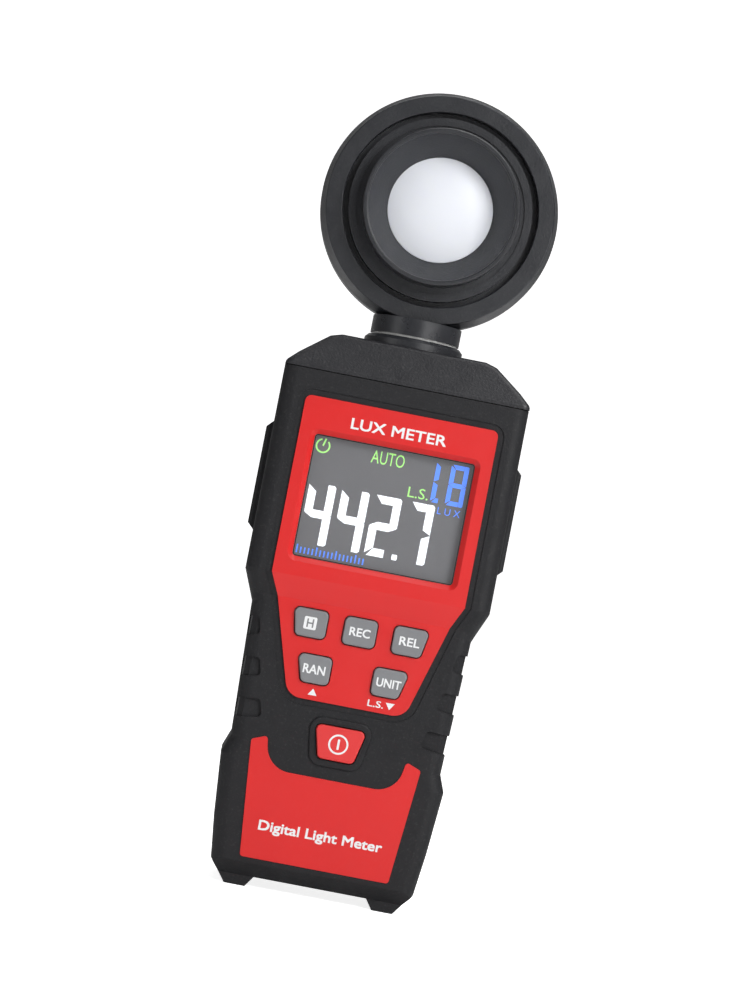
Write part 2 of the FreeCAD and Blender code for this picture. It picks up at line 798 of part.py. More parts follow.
def cap_block(name, inset, low):
    """The end cap's envelope, with slanted corners and a front and back that lean in to the neck."""
    body = new_body(name)
    top = f"body_top - ({inset})"
    outline = [
        (f"body_half - ({inset})", low), (f"body_half - ({inset})", "cap_line + cap_rise"),
        (f"body_half - cap_corner_in - ({inset})", "cap_line + cap_corner_rise"),
        (f"body_half - cap_slant_in - ({inset})", f"{top} - cap_slant_drop"),
        (f"body_half - cap_crown_in - ({inset})", top),
    ]
    pad(body, "XZ_Plane", mirrored(outline), f"-(front_face - ({inset}))", f"back_face - ({inset})")
    for name_side, sign, face in (("Front", "-", "front_face"), ("Back", "", "back_face")):
        lean = [
            (f"{sign}({face} - ({inset}))", "cap_line + cap_rise"), (f"{sign}({face} - cap_lean - ({inset}))", top),
            (f"{sign}({face} - cap_lean - ({inset}))", "body_top + over"),
            (f"{sign}({face} + over)", "body_top + over"), (f"{sign}({face} + over)", "cap_line + cap_rise"),
        ]
        pocket(body, "YZ_Plane", lean, f"-({HALF_SPAN})", HALF_SPAN)
    return body


def make_end_cap():
    outside = cap_block("CapOutside", "0", "cap_line + seam")
    floor = value("cap_line + seam")
    soften(outside, "edge_round / 2", lambda e: middle(e).z > floor + 0.1)
    inside = cap_block("CapInside", "wall", "cap_line - nick")
    ring_inset = "(rubber + wall + key_play)"
    lip = box("Lip", (f"-(body_half - {ring_inset})", f"body_half - {ring_inset}"),
              (f"-(front_face - {ring_inset})", f"back_face - {ring_inset}"),
              ("cap_line - cap_lip", "cap_line + wall"))
    lip_hollow = box("LipHollow", (f"-(body_half - {ring_inset} - wall)", f"body_half - {ring_inset} - wall"),
                     (f"-(front_face - {ring_inset} - wall)", f"back_face - {ring_inset} - wall"),
                     ("cap_line - nick", "cap_line + wall + nick"))
    socket_low = "(bush_low + socket_rise)"
    socket = cylinder("Socket", "z", ("0", "0", socket_low), f"{BUSH_RADIUS} + wall",
                      f"body_top - wall / 2 - {socket_low}")
    bore = cylinder("CapBore", "z", ("0", "0", "bush_low - nick"), BUSH_RADIUS, "body_top - bush_low + over")
    hollowed = cut("CapHollowed", outside, [inside])
    rim = cut("CapRim", lip, [lip_hollow])
    keep(cut("EndCap", fuse("CapSolid", [hollowed, rim, socket]), [bore]), "sensor_end_cap")


# ---- neck ----

def make_neck():
    flange = "stem_radius + flange_lip"
    keep(turned("NeckBush", [
        (BUSH_BORE, "bush_low"), (BUSH_RADIUS, "bush_low"), (BUSH_RADIUS, "body_top"), (flange, "body_top"),
        (flange, "flange_top - flange_chamfer"), (f"{flange} - flange_chamfer", "flange_top"),
        (BUSH_BORE, "flange_top"),
    ]), "neck_bush")
    shoulder = "flange_top + washer_thick"
    washer = "stem_radius + washer_lip"
    keep(turned("NeckWasher", [
        (BUSH_BORE, "flange_top"), (washer, "flange_top"), (washer, shoulder), (BUSH_BORE, shoulder),
    ]), "neck_washer")
    clip_high = "bush_low - clip_play"
    clip_low = f"{clip_high} - clip_thick"
    waist = "stem_radius - clip_deep"
    stem_low = f"{clip_low} - stem_tip"
    collar = "stem_radius + collar_lip"
    tenon_top = "head_height - groove_outer - tenon_clear"
    stem = turned("NeckStem", [
        ("stem_bore", stem_low), ("stem_radius", stem_low), ("stem_radius", clip_low), (waist, clip_low),
        (waist, clip_high), ("stem_radius", clip_high), ("stem_radius", shoulder),
        (collar, shoulder), (collar, "collar_top"), ("tenon_radius", "collar_top"),
        ("tenon_radius", tenon_top), ("lead_radius + seat_gap", tenon_top),
        ("lead_radius + seat_gap", "collar_top - wall"), ("stem_bore", "collar_top - wall"),
    ])
    keep(cut("StemTrimmed", stem, [head_envelope("StemSaddle")]), "neck_stem")
    clip_edge = "stem_radius + clip_lip"
    clip = turned("NeckClip", [(waist, clip_low), (clip_edge, clip_low), (clip_edge, clip_high), (waist, clip_high)])
    gap = box("ClipGap", ("-clip_opening", "clip_opening"), ("0", f"{clip_edge} + nick"),
              (f"{clip_low} - nick", f"{clip_high} + nick"))
    keep(cut("ClipOpen", clip, [gap]), "neck_circlip")


# ---- sensor head ----

def head_envelope(name):
    """The outside of the assembled head, less the hole for the stem's tenon, which trims the collar."""
    disc = turned_head(name + "Disc", [
        ("-head_face", "0"), ("-head_face", "face_radius"), ("-head_face + bevel_deep", "head_radius"),
        ("rim_back", "head_radius"), ("head_back", "back_radius"), ("head_back", "0"),
    ])
    return cut(name, disc, [tenon_space(name + "Tenon")])


def tenon_space(name):
    return cylinder(name, "z", ("0", "0", "body_top"), "tenon_radius",
                    "head_height - groove_outer - tenon_clear - body_top")


def lead_space(name):
    return cylinder(name, "z", ("0", "0", "body_top"), "lead_radius + seat_gap",
                    "head_height - lead_reach + nick - body_top")


def on_ring(name, turn, low, radius, length):
    """A cylinder along the sensor's axis at one of the head screws' places."""
    item = cylinder(name, "y", ("0", low, "0"), radius, length)
    bind(item, "Placement.Base.x", f"head_screw_ring * cos({turn})")
    bind(item, "Placement.Base.z", f"head_height + head_screw_ring * sin({turn})")
    return item


WEB_BACK = "(-head_face + groove_deep + web_thick)"
WELL_FLOOR = "(-head_face - cup_proud + well_deep)"


def make_head_shells():
    ring = turned_head("FrontRing", [
        ("-head_face", "groove_outer"), ("-head_face", "face_radius"), ("-head_face + bevel_deep", "head_radius"),
        ("split", "head_radius"), ("split", "head_radius - head_wall"), (WEB_BACK, "head_radius - head_wall"),
        (WEB_BACK, "web_radius"), ("-head_face + groove_deep", "web_radius"),
        ("-head_face + groove_deep", "groove_outer"),
    ])
    face = value("-head_face")
    soften(ring, "groove_deep / 10", lambda e: abs(middle(e).y - face) < 0.01)
    posts = [on_ring(f"RingPost{turn}", turn, WEB_BACK, "head_post_radius", f"split - {WEB_BACK}")
             for turn in HEAD_SCREW_TURNS]
    drills = [on_ring(f"RingDrill{turn}", turn, f"{WEB_BACK} - web_thick / 2", "screw_radius",
                      f"split - {WEB_BACK} + web_thick")
              for turn in HEAD_SCREW_TURNS]
    keep(cut("RingDrilled", fuse("RingPosted", [ring, *posts]),
             [*drills, tenon_space("RingTenon"), lead_space("RingLead")]), "head_front_ring")
    cover = turned_head("Cover", [
        ("split", "head_radius - head_wall"), ("split", "head_radius"), ("rim_back", "head_radius"),
        ("head_back", "back_radius"), ("head_back", "0"), ("head_back - head_wall", "0"),
        ("head_back - head_wall", "back_radius - head_wall / 2"), ("rim_back", "head_radius - head_wall"),
    ])
    low = value("rim_back")
    wide = value("2 * back_radius") - 0.1
    soften(cover, "head_wall / 2", lambda e: middle(e).y > low - 0.01 and e.BoundBox.XLength > wide)
    posts = [on_ring(f"CoverPost{turn}", turn, "split", "head_post_radius", "head_back - head_wall / 2 - split")
             for turn in HEAD_SCREW_TURNS]
    drills = [on_ring(f"CoverDrill{turn}", turn, "split - nick", "screw_radius + post_gap / 2", "head_back")
              for turn in HEAD_SCREW_TURNS]
    sinks = [on_ring(f"CoverSink{turn}", turn, "head_back - screw_head_tall", "screw_head + post_gap / 2",
                     "screw_head_tall + over") for turn in HEAD_SCREW_TURNS]
    keep(cut("CoverDrilled", fuse("CoverPosted", [cover, *posts]), [*drills, *sinks, tenon_space("CoverTenon")]),
         "head_rear_cover")
    screws = [fuse(f"HeadScrew{turn}", [
        on_ring(f"HeadScrewShank{turn}", turn, f"{WEB_BACK} - web_thick / 2", "screw_radius",
                f"head_back - screw_head_tall - {WEB_BACK} + web_thick / 2"),
        on_ring(f"HeadScrewHead{turn}", turn, "head_back - screw_head_tall", "screw_head", "screw_head_tall * 0.8"),
    ]) for turn in HEAD_SCREW_TURNS]
    keep(group("HeadScrews", screws), "head_screws")


def make_sensor():
    baffle = turned_head("Baffle", [
        ("-head_face - cup_proud", "cup_inner"), ("-head_face - cup_proud", "cup_outer"),
        ("-head_face + cup_step", "cup_outer"), ("-head_face + cup_step", "cup_step_radius"),
        ("-head_face", "cup_step_radius"), ("-head_face", "groove_inner"),
        ("-head_face + groove_deep", "groove_inner"), ("-head_face + groove_deep", "dome_radius + dome_gap"),
        (WELL_FLOOR, "dome_radius + dome_gap"), ("-head_face - cup_proud + cup_land", "cup_inner - dome_gap"),
    ])
    tip = value("-head_face - cup_proud")
    soften(baffle, "dome_gap * 3", lambda e: abs(middle(e).y - tip) < 0.01)
    keep(baffle, "baffle_cup")
    ball = doc.addObject("Part::Sphere", "DomeBall")
    ball_radius = "(dome_radius ^ 2 + dome_rise ^ 2) / (2 * dome_rise)"
    bind(ball, "Radius", ball_radius)
    bind(ball, "Placement.Base.y", f"{WELL_FLOOR} - dome_rise + {ball_radius}")
    bind(ball, "Placement.Base.z", "head_height")
    plug = cylinder("DomePlug", "y", ("0", f"{WELL_FLOOR} - dome_rise - nick", "head_height"), "dome_radius",
                    "dome_rise + dome_edge + nick")
    keep(common("Dome", [ball, plug]), "diffuser_dome")
    dome_back = f"({WELL_FLOOR} + dome_edge)"
    board_front = "split + sensor_board_gap"
    seat = turned_head("Seat", [
        (dome_back, "filter_radius + dome_gap"), (dome_back, "dome_radius"),
        ("-head_face + groove_deep", "dome_radius"), ("-head_face + groove_deep", "web_radius - seat_gap"),
        (WEB_BACK, "web_radius - seat_gap"), (WEB_BACK, "dome_radius"), (board_front, "dome_radius"),
        (board_front, "filter_radius + dome_gap"),
    ])
    keep(cut("SeatNotched", seat, [lead_space("SeatLead")]), "diffuser_seat")
    keep(cylinder("Filter", "y", ("0", f"{dome_back} + dome_gap", "head_height"), "filter_radius", "filter_thick"),
         "filter_glass")
    keep(cylinder("Diode", "y", ("0", f"{board_front} - diode_thick", "head_height"), "diode_radius",
                  "diode_thick"), "photodiode")
    keep(cylinder("SensorBoard", "y", ("0", board_front, "head_height"), "sensor_board_radius",
                  "sensor_board_thick"), "sensor_board")
    keep(cylinder("Lead", "z", ("0", "0", "lead_low"), "lead_radius", "head_height - lead_reach - lead_low"),
         "sensor_lead")


# ---- display and boards ----

def make_display():
    front = "(front_face - window_sunk)"
    back = f"({front} - window_thick)"
    lens = prism("Window", rectangle("window_half + window_lip - dome_gap", "window_low - window_lip + dome_gap",
                                     "window_high + window_lip - dome_gap", "window_corner"), f"-{front}", f"-{back}")
    keep(lens, "display_window")
    glass_front = f"({back} - display_gap)"
    glass_back = f"({glass_front} - display_thick)"
    light_back = f"({glass_back} - light_thick)"
    keep(prism("Glass", rectangle("window_half", "window_low", "window_high", "window_corner / 2"),
               f"-{glass_front}", f"-{glass_back}"), "display_panel")
    keep(prism("Light", rectangle("window_half", "window_low", "window_high", "window_corner / 2"),
               f"-{glass_back}", f"-{light_back}"), "display_backlight")
    ring = prism("FrameOuter", rectangle("window_half + window_lip - dome_gap", "window_low - window_lip + dome_gap",
                                         "window_high + window_lip - dome_gap", "window_corner"),
                 f"-{back}", "-board_front")
    inside = prism("FrameInner", rectangle("window_half + dome_gap", "window_low - dome_gap",
                                           "window_high + dome_gap", "window_corner / 2"), FRONT, "0")
    keep(cut("Frame", ring, [inside]), "display_frame")


def make_board():
    plate = box("BoardPlate", ("-board_half", "board_half"), ("-board_front", "-board_front + board_thick"),
                ("board_low", "board_high"))
    holes = [cylinder(f"BoardHole{index}", "y", (across, "-board_front - nick", up), "boss_radius + post_gap",
                      "board_thick + 2 * nick") for index, (across, up) in enumerate(SCREW_PLACES[2:])]
    holes += [cylinder(f"BoardScrewHole{index}", "y", (across, "-board_front - nick", up),
                       "screw_radius + cell_gap", "board_thick + 2 * nick")
              for index, (across, up) in enumerate(BOARD_SCREW_PLACES)]
    keep(cut("Board", plate, holes), "main_board")
    rear = "-board_front + board_thick"
    screws = []
    for index, (across, up) in enumerate(BOARD_SCREW_PLACES):
        shank = cylinder(f"BoardScrewShank{index}", "y", (across, "-board_front - board_bite", up), "screw_radius",
                         "board_thick + board_bite")
        head = cylinder(f"BoardScrewHead{index}", "y", (across, rear, up), "screw_head", "screw_head_tall")
        screws.append(fuse(f"BoardScrew{index}", [shank, head]))
    keep(group("BoardScrews", screws), "board_screws")
    chips = [box(f"Chip_{chip}", (f"{chip}_chip_left", f"{chip}_chip_right"), (rear, f"{rear} + chip_tall"),
                 (f"{chip}_chip_low", f"{chip}_chip_high")) for chip in ("main", "driver", "power", "clock")]
    keep(group("Chips", chips), "board_chips")
    keep(box("Connector", ("-lead_radius * 2", "lead_radius * 2"), (rear, "lead_radius * 2"),
             ("lead_low - connector_gap - connector_long", "lead_low - connector_gap")), "lead_connector")
    mat = prism("Mat", mirrored([
        ("mat_foot_half", "mat_low", "mat_corner"), ("mat_half", "mat_bend", "mat_corner"),
        ("mat_half", "mat_top", "mat_corner"),
    ]), "-(board_front + mat_thick)", "-board_front")
    pips = []
    for index, outline in enumerate(KEYS.values()):
        corners = outline("0")
        across = " + ".join(f"({point[0]})" for point in corners)
        up = " + ".join(f"({point[1]})" for point in corners)
        flange_back = f"({INNER_KEYPAD} - key_play - key_flange_thick - key_travel - key_play)"
        pips.append(cylinder(f"Pip{index}", "y", (f"({across}) / 4", f"-{flange_back}", f"({up}) / 4"), "pip_radius",
                             f"{flange_back} - board_front - mat_thick / 2"))
    keep(fuse("KeypadMat", [mat, *pips]), "keypad_mat")


def make_keys():
    for name, outline in KEYS.items():
        body = new_body(name.title().replace("_", ""))
        proud = "key_proud + panel_proud" if name != "key_power" else "key_proud + rim_proud"
        face = f"-({KEYPAD} + {proud})"
        seat = f"-({INNER_KEYPAD} - key_play)"
        pad(body, "XZ_Plane", outline("0"), face, seat)
        level = value(face)
        soften(body, "key_soft", lambda e: abs(middle(e).y - level) < 0.01)
        flange = prism(f"Flange_{name}", outline("key_flange"), seat, f"{seat} + key_flange_thick")
        keep(fuse(f"Whole_{name}", [body, flange]), name)


# ---- batteries, door and fasteners ----

def make_batteries():
    springs = []
    plates = []
    for index in range(3):
        across = f"({index - 1} * {CELL_PITCH})"
        upright = index != 1
        near = "bay_low + plate_thick"
        far = f"{BAY_HIGH} - plate_thick"
        spring = (near, f"{near} + spring_tall") if upright else (f"{far} - spring_tall", far)
        shell_low = spring[1] if upright else f"{near} + nub_tall"
        nub_low = f"{far} - nub_tall" if upright else near
        shell = cylinder(f"CellShell{index}", "z", (across, CELL_CENTRE, shell_low), "cell_radius", "cell_long")
        nub = cylinder(f"CellNub{index}", "z", (across, CELL_CENTRE, nub_low), "nub_radius", "nub_tall")
        keep(fuse(f"Cell{index}", [shell, nub]), f"battery_{index + 1}")
        coil = cylinder(f"Coil{index}", "z", (across, CELL_CENTRE, spring[0]), "cell_radius / 2", "spring_tall")
        for low in ("bay_low", far):
            plate = box(f"Plate{index}", (f"{across} - plate_half", f"{across} + plate_half"),
                        (f"{CELL_CENTRE} - plate_half", f"{CELL_CENTRE} + plate_half"), (low, f"{low} + plate_thick"))
            if (low == "bay_low") == upright:
                springs.append(fuse(f"Spring{index}", [plate, coil]))
            else:
                plates.append(plate)
    keep(group("Springs", springs), "battery_springs")
    keep(group("Plates", plates), "battery_plates")


def make_door():
    body = prism("Door", door_outline("0"), DOOR_SEAT, DOOR_FACE)
    face = value(DOOR_FACE)
    soften(body, "key_soft", lambda e: abs(middle(e).y - face) < 0.01)
    drill = cylinder("DoorDrill", "y", ("0", "0", "door_screw_height"), "screw_radius + post_gap / 2", BACK)
    sink = cylinder("DoorSink", "y", ("0", f"{DOOR_FACE} - screw_head_tall", "door_screw_height"),
                    "screw_head + running_gap", "screw_head_tall + over")
    grooves = [box(f"DoorGroove{index}", ("-rib_half", "rib_half"), (f"{DOOR_FACE} - rib_deep", BACK),
                   (f"rib_low + rib_pitch * {index}", f"rib_low + rib_pitch * {index} + rib_tall"))
               for index in range(5)]
    keep(cut("DoorDrilled", body, [drill, sink, *grooves]), "battery_door")
    shank = cylinder("DoorScrewShank", "y", ("0", f"{DOOR_SEAT} - door_screw_reach", "door_screw_height"),
                     "screw_radius", "door_screw_reach + door_thick - screw_head_tall")
    head = cylinder("DoorScrewHead", "y", ("0", f"{DOOR_FACE} - screw_head_tall", "door_screw_height"),
                    "screw_head", "screw_head_tall * 0.9")
    slot = box("DoorScrewSlot", ("-screw_head * 0.8", "screw_head * 0.8"), (f"{DOOR_FACE} - slot_deep", BACK),
               ("door_screw_height - slot_half", "door_screw_height + slot_half"))
    keep(cut("DoorScrew", fuse("DoorScrewSolid", [shank, head]), [slot]), "door_screw")
    brass = cylinder("InsertBody", "y", ("0", f"{DOOR_SEAT} - insert_long", "door_screw_height"), "insert_radius",
                     "insert_long - cell_gap")
    bore = cylinder("InsertBore", "y", ("0", f"{DOOR_SEAT} - insert_long * 0.9", "door_screw_height"),
                    "screw_radius + running_gap", "insert_long")
    keep(cut("DoorInsert", brass, [bore]), "door_insert")


def make_back_fittings():
    screws = []
    seat = "back_face - case_screw_sunk"
    for index, (across, up) in enumerate(SCREW_PLACES):
        shank = cylinder(f"CaseShank{index}", "y", (across, "-case_screw_tip", up), "screw_radius",
                         f"{seat} + case_screw_tip")
        head = cylinder(f"CaseHead{index}", "y", (across, seat, up), "screw_head", "screw_head_tall")
        screws.append(fuse(f"CaseScrew{index}", [shank, head]))
    keep(group("CaseScrews", screws), "case_screws")
    level = "back_face + panel_proud"
    brass = cylinder("TripodBody", "y", ("0", f"{level} - tripod_long", "tripod_height"), "tripod_radius",
                     "tripod_long")
    bore = cylinder("TripodBore", "y", ("0", f"{level} - tripod_deep", "tripod_height"), "tripod_bore",
                    "tripod_deep + nick")
    keep(cut("TripodInsert", brass, [bore]), "tripod_insert")
    keep(box("Label", ("-label_half + dome_gap", "label_half - dome_gap"), (f"{level} - label_thick", level),
             ("label_low + dome_gap", "label_high - dome_gap")), "rating_label")


blocks = make_shared_blocks()
make_front_shell(blocks)
make_front_overmold(blocks)
make_rear_shell(blocks)
make_rear_overmold(blocks)
make_end_cap()
make_neck()
make_head_shells()
make_sensor()
make_display()
make_board()
make_keys()
make_batteries()
make_door()
make_back_fittings()
doc.recompute()

for item in doc.Objects:
    if "Invalid" in item.State or "Error" in item.State:
        raise ValueError(f"{item.Name} did not compute: {item.State}")

os.makedirs("parts", exist_ok=True)
for item in pieces:
    if item.Shape.isNull() or not item.Shape.isValid() or not item.Shape.Solids:
        raise ValueError(f"{item.Label} is not a valid solid")
    item.Shape.exportStep(f"parts/{item.Label}.step")
    print(item.Label, len(item.Shape.Solids), "solids", round(item.Shape.Volume), "mm3")
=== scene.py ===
# Handheld light meter: finishes, display figures, key legends, studio floor, lights and camera around the
# imported frame.
import json
import math
import bpy
import numpy as np
from mathutils import Matrix, Vector


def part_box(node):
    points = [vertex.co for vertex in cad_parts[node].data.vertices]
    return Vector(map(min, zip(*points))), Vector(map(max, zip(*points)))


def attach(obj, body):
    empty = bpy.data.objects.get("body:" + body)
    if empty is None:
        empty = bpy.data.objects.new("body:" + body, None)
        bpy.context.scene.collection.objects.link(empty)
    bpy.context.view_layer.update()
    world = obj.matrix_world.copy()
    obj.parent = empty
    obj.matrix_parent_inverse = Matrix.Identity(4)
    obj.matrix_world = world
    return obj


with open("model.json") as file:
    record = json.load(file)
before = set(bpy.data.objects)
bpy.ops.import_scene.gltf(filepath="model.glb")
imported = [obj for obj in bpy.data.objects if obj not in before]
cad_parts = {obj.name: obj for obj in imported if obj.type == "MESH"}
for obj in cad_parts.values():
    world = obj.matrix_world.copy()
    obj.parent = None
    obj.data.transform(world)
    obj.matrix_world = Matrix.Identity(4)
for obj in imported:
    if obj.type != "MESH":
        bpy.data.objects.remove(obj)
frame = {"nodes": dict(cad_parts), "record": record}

print("stage: frame loaded")
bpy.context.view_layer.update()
nodes = frame["nodes"]
mm = 0.001


def nodeIn(tree, kind, **values):
    made = tree.nodes.new(kind)
    for key, value in values.items():
        setattr(made, key, value)
    return made


def newGroup(name, inputs, outputs):
    # a shader group with plain number, colour or vector sockets
    group = bpy.data.node_groups.new(name, "ShaderNodeTree")
    kinds = {"f": "NodeSocketFloat", "c": "NodeSocketColor", "v": "NodeSocketVector"}
    for label, kind, default in inputs:
        socket = group.interface.new_socket(name=label, in_out="INPUT", socket_type=kinds[kind])
        if default is not None:
            socket.default_value = default
    for label, kind in outputs:
        group.interface.new_socket(name=label, in_out="OUTPUT", socket_type=kinds[kind])
    return group, group.nodes.new("NodeGroupInput"), group.nodes.new("NodeGroupOutput")


def noiseIn(group, scale, detail, source, roughness=0.55):
    noise = nodeIn(group, "ShaderNodeTexNoise")
    noise.inputs["Detail"].default_value = detail
    noise.inputs["Roughness"].default_value = roughness
    if isinstance(scale, (int, float)):
        noise.inputs["Scale"].default_value = scale
    else:
        group.links.new(scale, noise.inputs["Scale"])
    group.links.new(source, noise.inputs["Vector"])
    return noise


def mapped(group, value, low, high, fromLow=0.0, fromHigh=1.0):
    node = nodeIn(group, "ShaderNodeMapRange")
    group.links.new(value, node.inputs["Value"])
    for label, amount in (("From Min", fromLow), ("From Max", fromHigh), ("To Min", low), ("To Max", high)):
        if isinstance(amount, (int, float)):
            node.inputs[label].default_value = amount
        else:
            group.links.new(amount, node.inputs[label])
    return node.outputs["Result"]


def maths(group, operation, first, second):
    node = nodeIn(group, "ShaderNodeMath", operation=operation)
    for index, amount in enumerate((first, second)):
        if isinstance(amount, (int, float)):
            node.inputs[index].default_value = amount
        else:
            group.links.new(amount, node.inputs[index])
    return node.outputs[0]


def mixColour(group, factor, first, second, blend="MIX"):
    node = nodeIn(group, "ShaderNodeMix", data_type="RGBA", blend_type=blend)
    for index, amount in ((0, factor), (6, first), (7, second)):
        if isinstance(amount, (int, float)):
            node.inputs[index].default_value = amount
        elif isinstance(amount, tuple):
            node.inputs[index].default_value = amount
        else:
            group.links.new(amount, node.inputs[index])
    return node.outputs[2]


def makeMouldGroup():
    # moulded plastic: a fine spark-eroded grain, slow tone drift, and faint handling marks
    group, start, end = newGroup("mouldedSurface", [
        ("Colour", "c", (0.5, 0.5, 0.5, 1)), ("Grain Scale", "f", 2600.0), ("Grain Depth", "f", 0.5),
        ("Tone Drift", "f", 0.06), ("Roughness", "f", 0.45), ("Rough Drift", "f", 0.08),
    ], [("Colour", "c"), ("Roughness", "f"), ("Height", "f")])
    place = nodeIn(group, "ShaderNodeTexCoord").outputs["Object"]
    grain = noiseIn(group, start.outputs["Grain Scale"], 2.0, place).outputs["Fac"]
    blotch = noiseIn(group, 55.0, 3.0, place).outputs["Fac"]
    smear = noiseIn(group, 240.0, 4.0, place).outputs["Fac"]
    darker = mixColour(group, 1.0, start.outputs["Colour"], (0.62, 0.62, 0.64, 1), "MULTIPLY")
    drift = maths(group, "MULTIPLY", mapped(group, blotch, 0.0, 1.0, 0.35, 0.7), start.outputs["Tone Drift"])
    group.links.new(mixColour(group, drift, start.outputs["Colour"], darker), end.inputs["Colour"])
    rough = maths(group, "MULTIPLY", mapped(group, smear, -1.0, 1.0, 0.3, 0.7), start.outputs["Rough Drift"])
    group.links.new(maths(group, "ADD", start.outputs["Roughness"], rough), end.inputs["Roughness"])
    group.links.new(maths(group, "MULTIPLY", grain, start.outputs["Grain Depth"]), end.inputs["Height"])
    return group


def makeDustGroup():
    # a light scatter of dust specks and lint-coloured haze on upward faces
    group, start, end = newGroup("restingDust", [
        ("Colour", "c", (0.5, 0.5, 0.5, 1)), ("Dust Colour", "c", (0.55, 0.54, 0.52, 1)),
        ("Amount", "f", 0.1),
    ], [("Colour", "c"), ("Mask", "f")])
    coordinates = nodeIn(group, "ShaderNodeTexCoord")
    specks = noiseIn(group, 1500.0, 2.0, coordinates.outputs["Object"], 0.7).outputs["Fac"]
    split = nodeIn(group, "ShaderNodeSeparateXYZ")
    group.links.new(coordinates.outputs["Normal"], split.inputs[0])
    upward = mapped(group, split.outputs["Z"], 0.25, 1.0, -0.2, 1.0)
    mask = maths(group, "MULTIPLY", mapped(group, specks, 0.0, 1.0, 0.56, 0.72), upward)
    mask = maths(group, "MULTIPLY", mask, start.outputs["Amount"])
    group.links.new(mixColour(group, mask, start.outputs["Colour"], start.outputs["Dust Colour"]),
                    end.inputs["Colour"])
    group.links.new(mask, end.inputs["Mask"])
    return group


def makeTurnedGroup():
    # turned metal: fine rings about a centre line through a point, as a lathe leaves them
    group, start, end = newGroup("turnedRings", [
        ("Centre", "v", (0.0, 0.0, 0.0)), ("Spacing", "f", 9000.0), ("Depth", "f", 0.5),
    ], [("Height", "f")])
    place = nodeIn(group, "ShaderNodeTexCoord").outputs["Object"]
    shifted = nodeIn(group, "ShaderNodeVectorMath", operation="SUBTRACT")
    group.links.new(place, shifted.inputs[0])
    group.links.new(start.outputs["Centre"], shifted.inputs[1])
    flat = nodeIn(group, "ShaderNodeVectorMath", operation="MULTIPLY")
    flat.inputs[1].default_value = (1.0, 0.0, 1.0)
    group.links.new(shifted.outputs[0], flat.inputs[0])
    radius = nodeIn(group, "ShaderNodeVectorMath", operation="LENGTH")
    group.links.new(flat.outputs[0], radius.inputs[0])
    phase = maths(group, "MULTIPLY", radius.outputs["Value"], start.outputs["Spacing"])
    wave = maths(group, "SINE", phase, 0.0)
    group.links.new(maths(group, "MULTIPLY", wave, start.outputs["Depth"]), end.inputs["Height"])
    return group


groups = {"mould": makeMouldGroup(), "dust": makeDustGroup(), "turned": makeTurnedGroup()}


def startMaterial(name):
    material = bpy.data.materials.new(name)
    material.use_nodes = True
    tree = material.node_tree
    shader = next(n for n in tree.nodes if n.type == "BSDF_PRINCIPLED")
    return material, tree, shader


def bumpInto(tree, shader, height, distance):
    bump = nodeIn(tree, "ShaderNodeBump")
    bump.inputs["Strength"].default_value = 1.0
    bump.inputs["Distance"].default_value = distance
    tree.links.new(height, bump.inputs["Height"])
    tree.links.new(bump.outputs["Normal"], shader.inputs["Normal"])


def mouldedMaterial(name, finish):
    # one moulded finish: grain, tone drift and a trace of dust, on object coordinates
    material, tree, shader = startMaterial(name)
    mould = nodeIn(tree, "ShaderNodeGroup", node_tree=groups["mould"])
    mould.inputs["Colour"].default_value = (*finish["colour"], 1)
    mould.inputs["Grain Scale"].default_value = finish["grainScale"]
    mould.inputs["Grain Depth"].default_value = 1.0
    mould.inputs["Tone Drift"].default_value = finish["drift"]
    mould.inputs["Roughness"].default_value = finish["roughness"]
    mould.inputs["Rough Drift"].default_value = finish["roughDrift"]
    dust = nodeIn(tree, "ShaderNodeGroup", node_tree=groups["dust"])
    dust.inputs["Amount"].default_value = finish["dust"]
    tree.links.new(mould.outputs["Colour"], dust.inputs["Colour"])
    tree.links.new(dust.outputs["Colour"], shader.inputs["Base Color"])
    tree.links.new(mould.outputs["Roughness"], shader.inputs["Roughness"])
    shader.inputs["Specular IOR Level"].default_value = finish.get("specular", 0.5)
    shader.inputs["Coat Weight"].default_value = finish.get("coat", 0.0)
    shader.inputs["Coat Roughness"].default_value = 0.3
    shader.inputs["Sheen Weight"].default_value = finish.get("sheen", 0.0)
    bumpInto(tree, shader, mould.outputs["Height"], finish["grainDepth"] * mm)
    return material


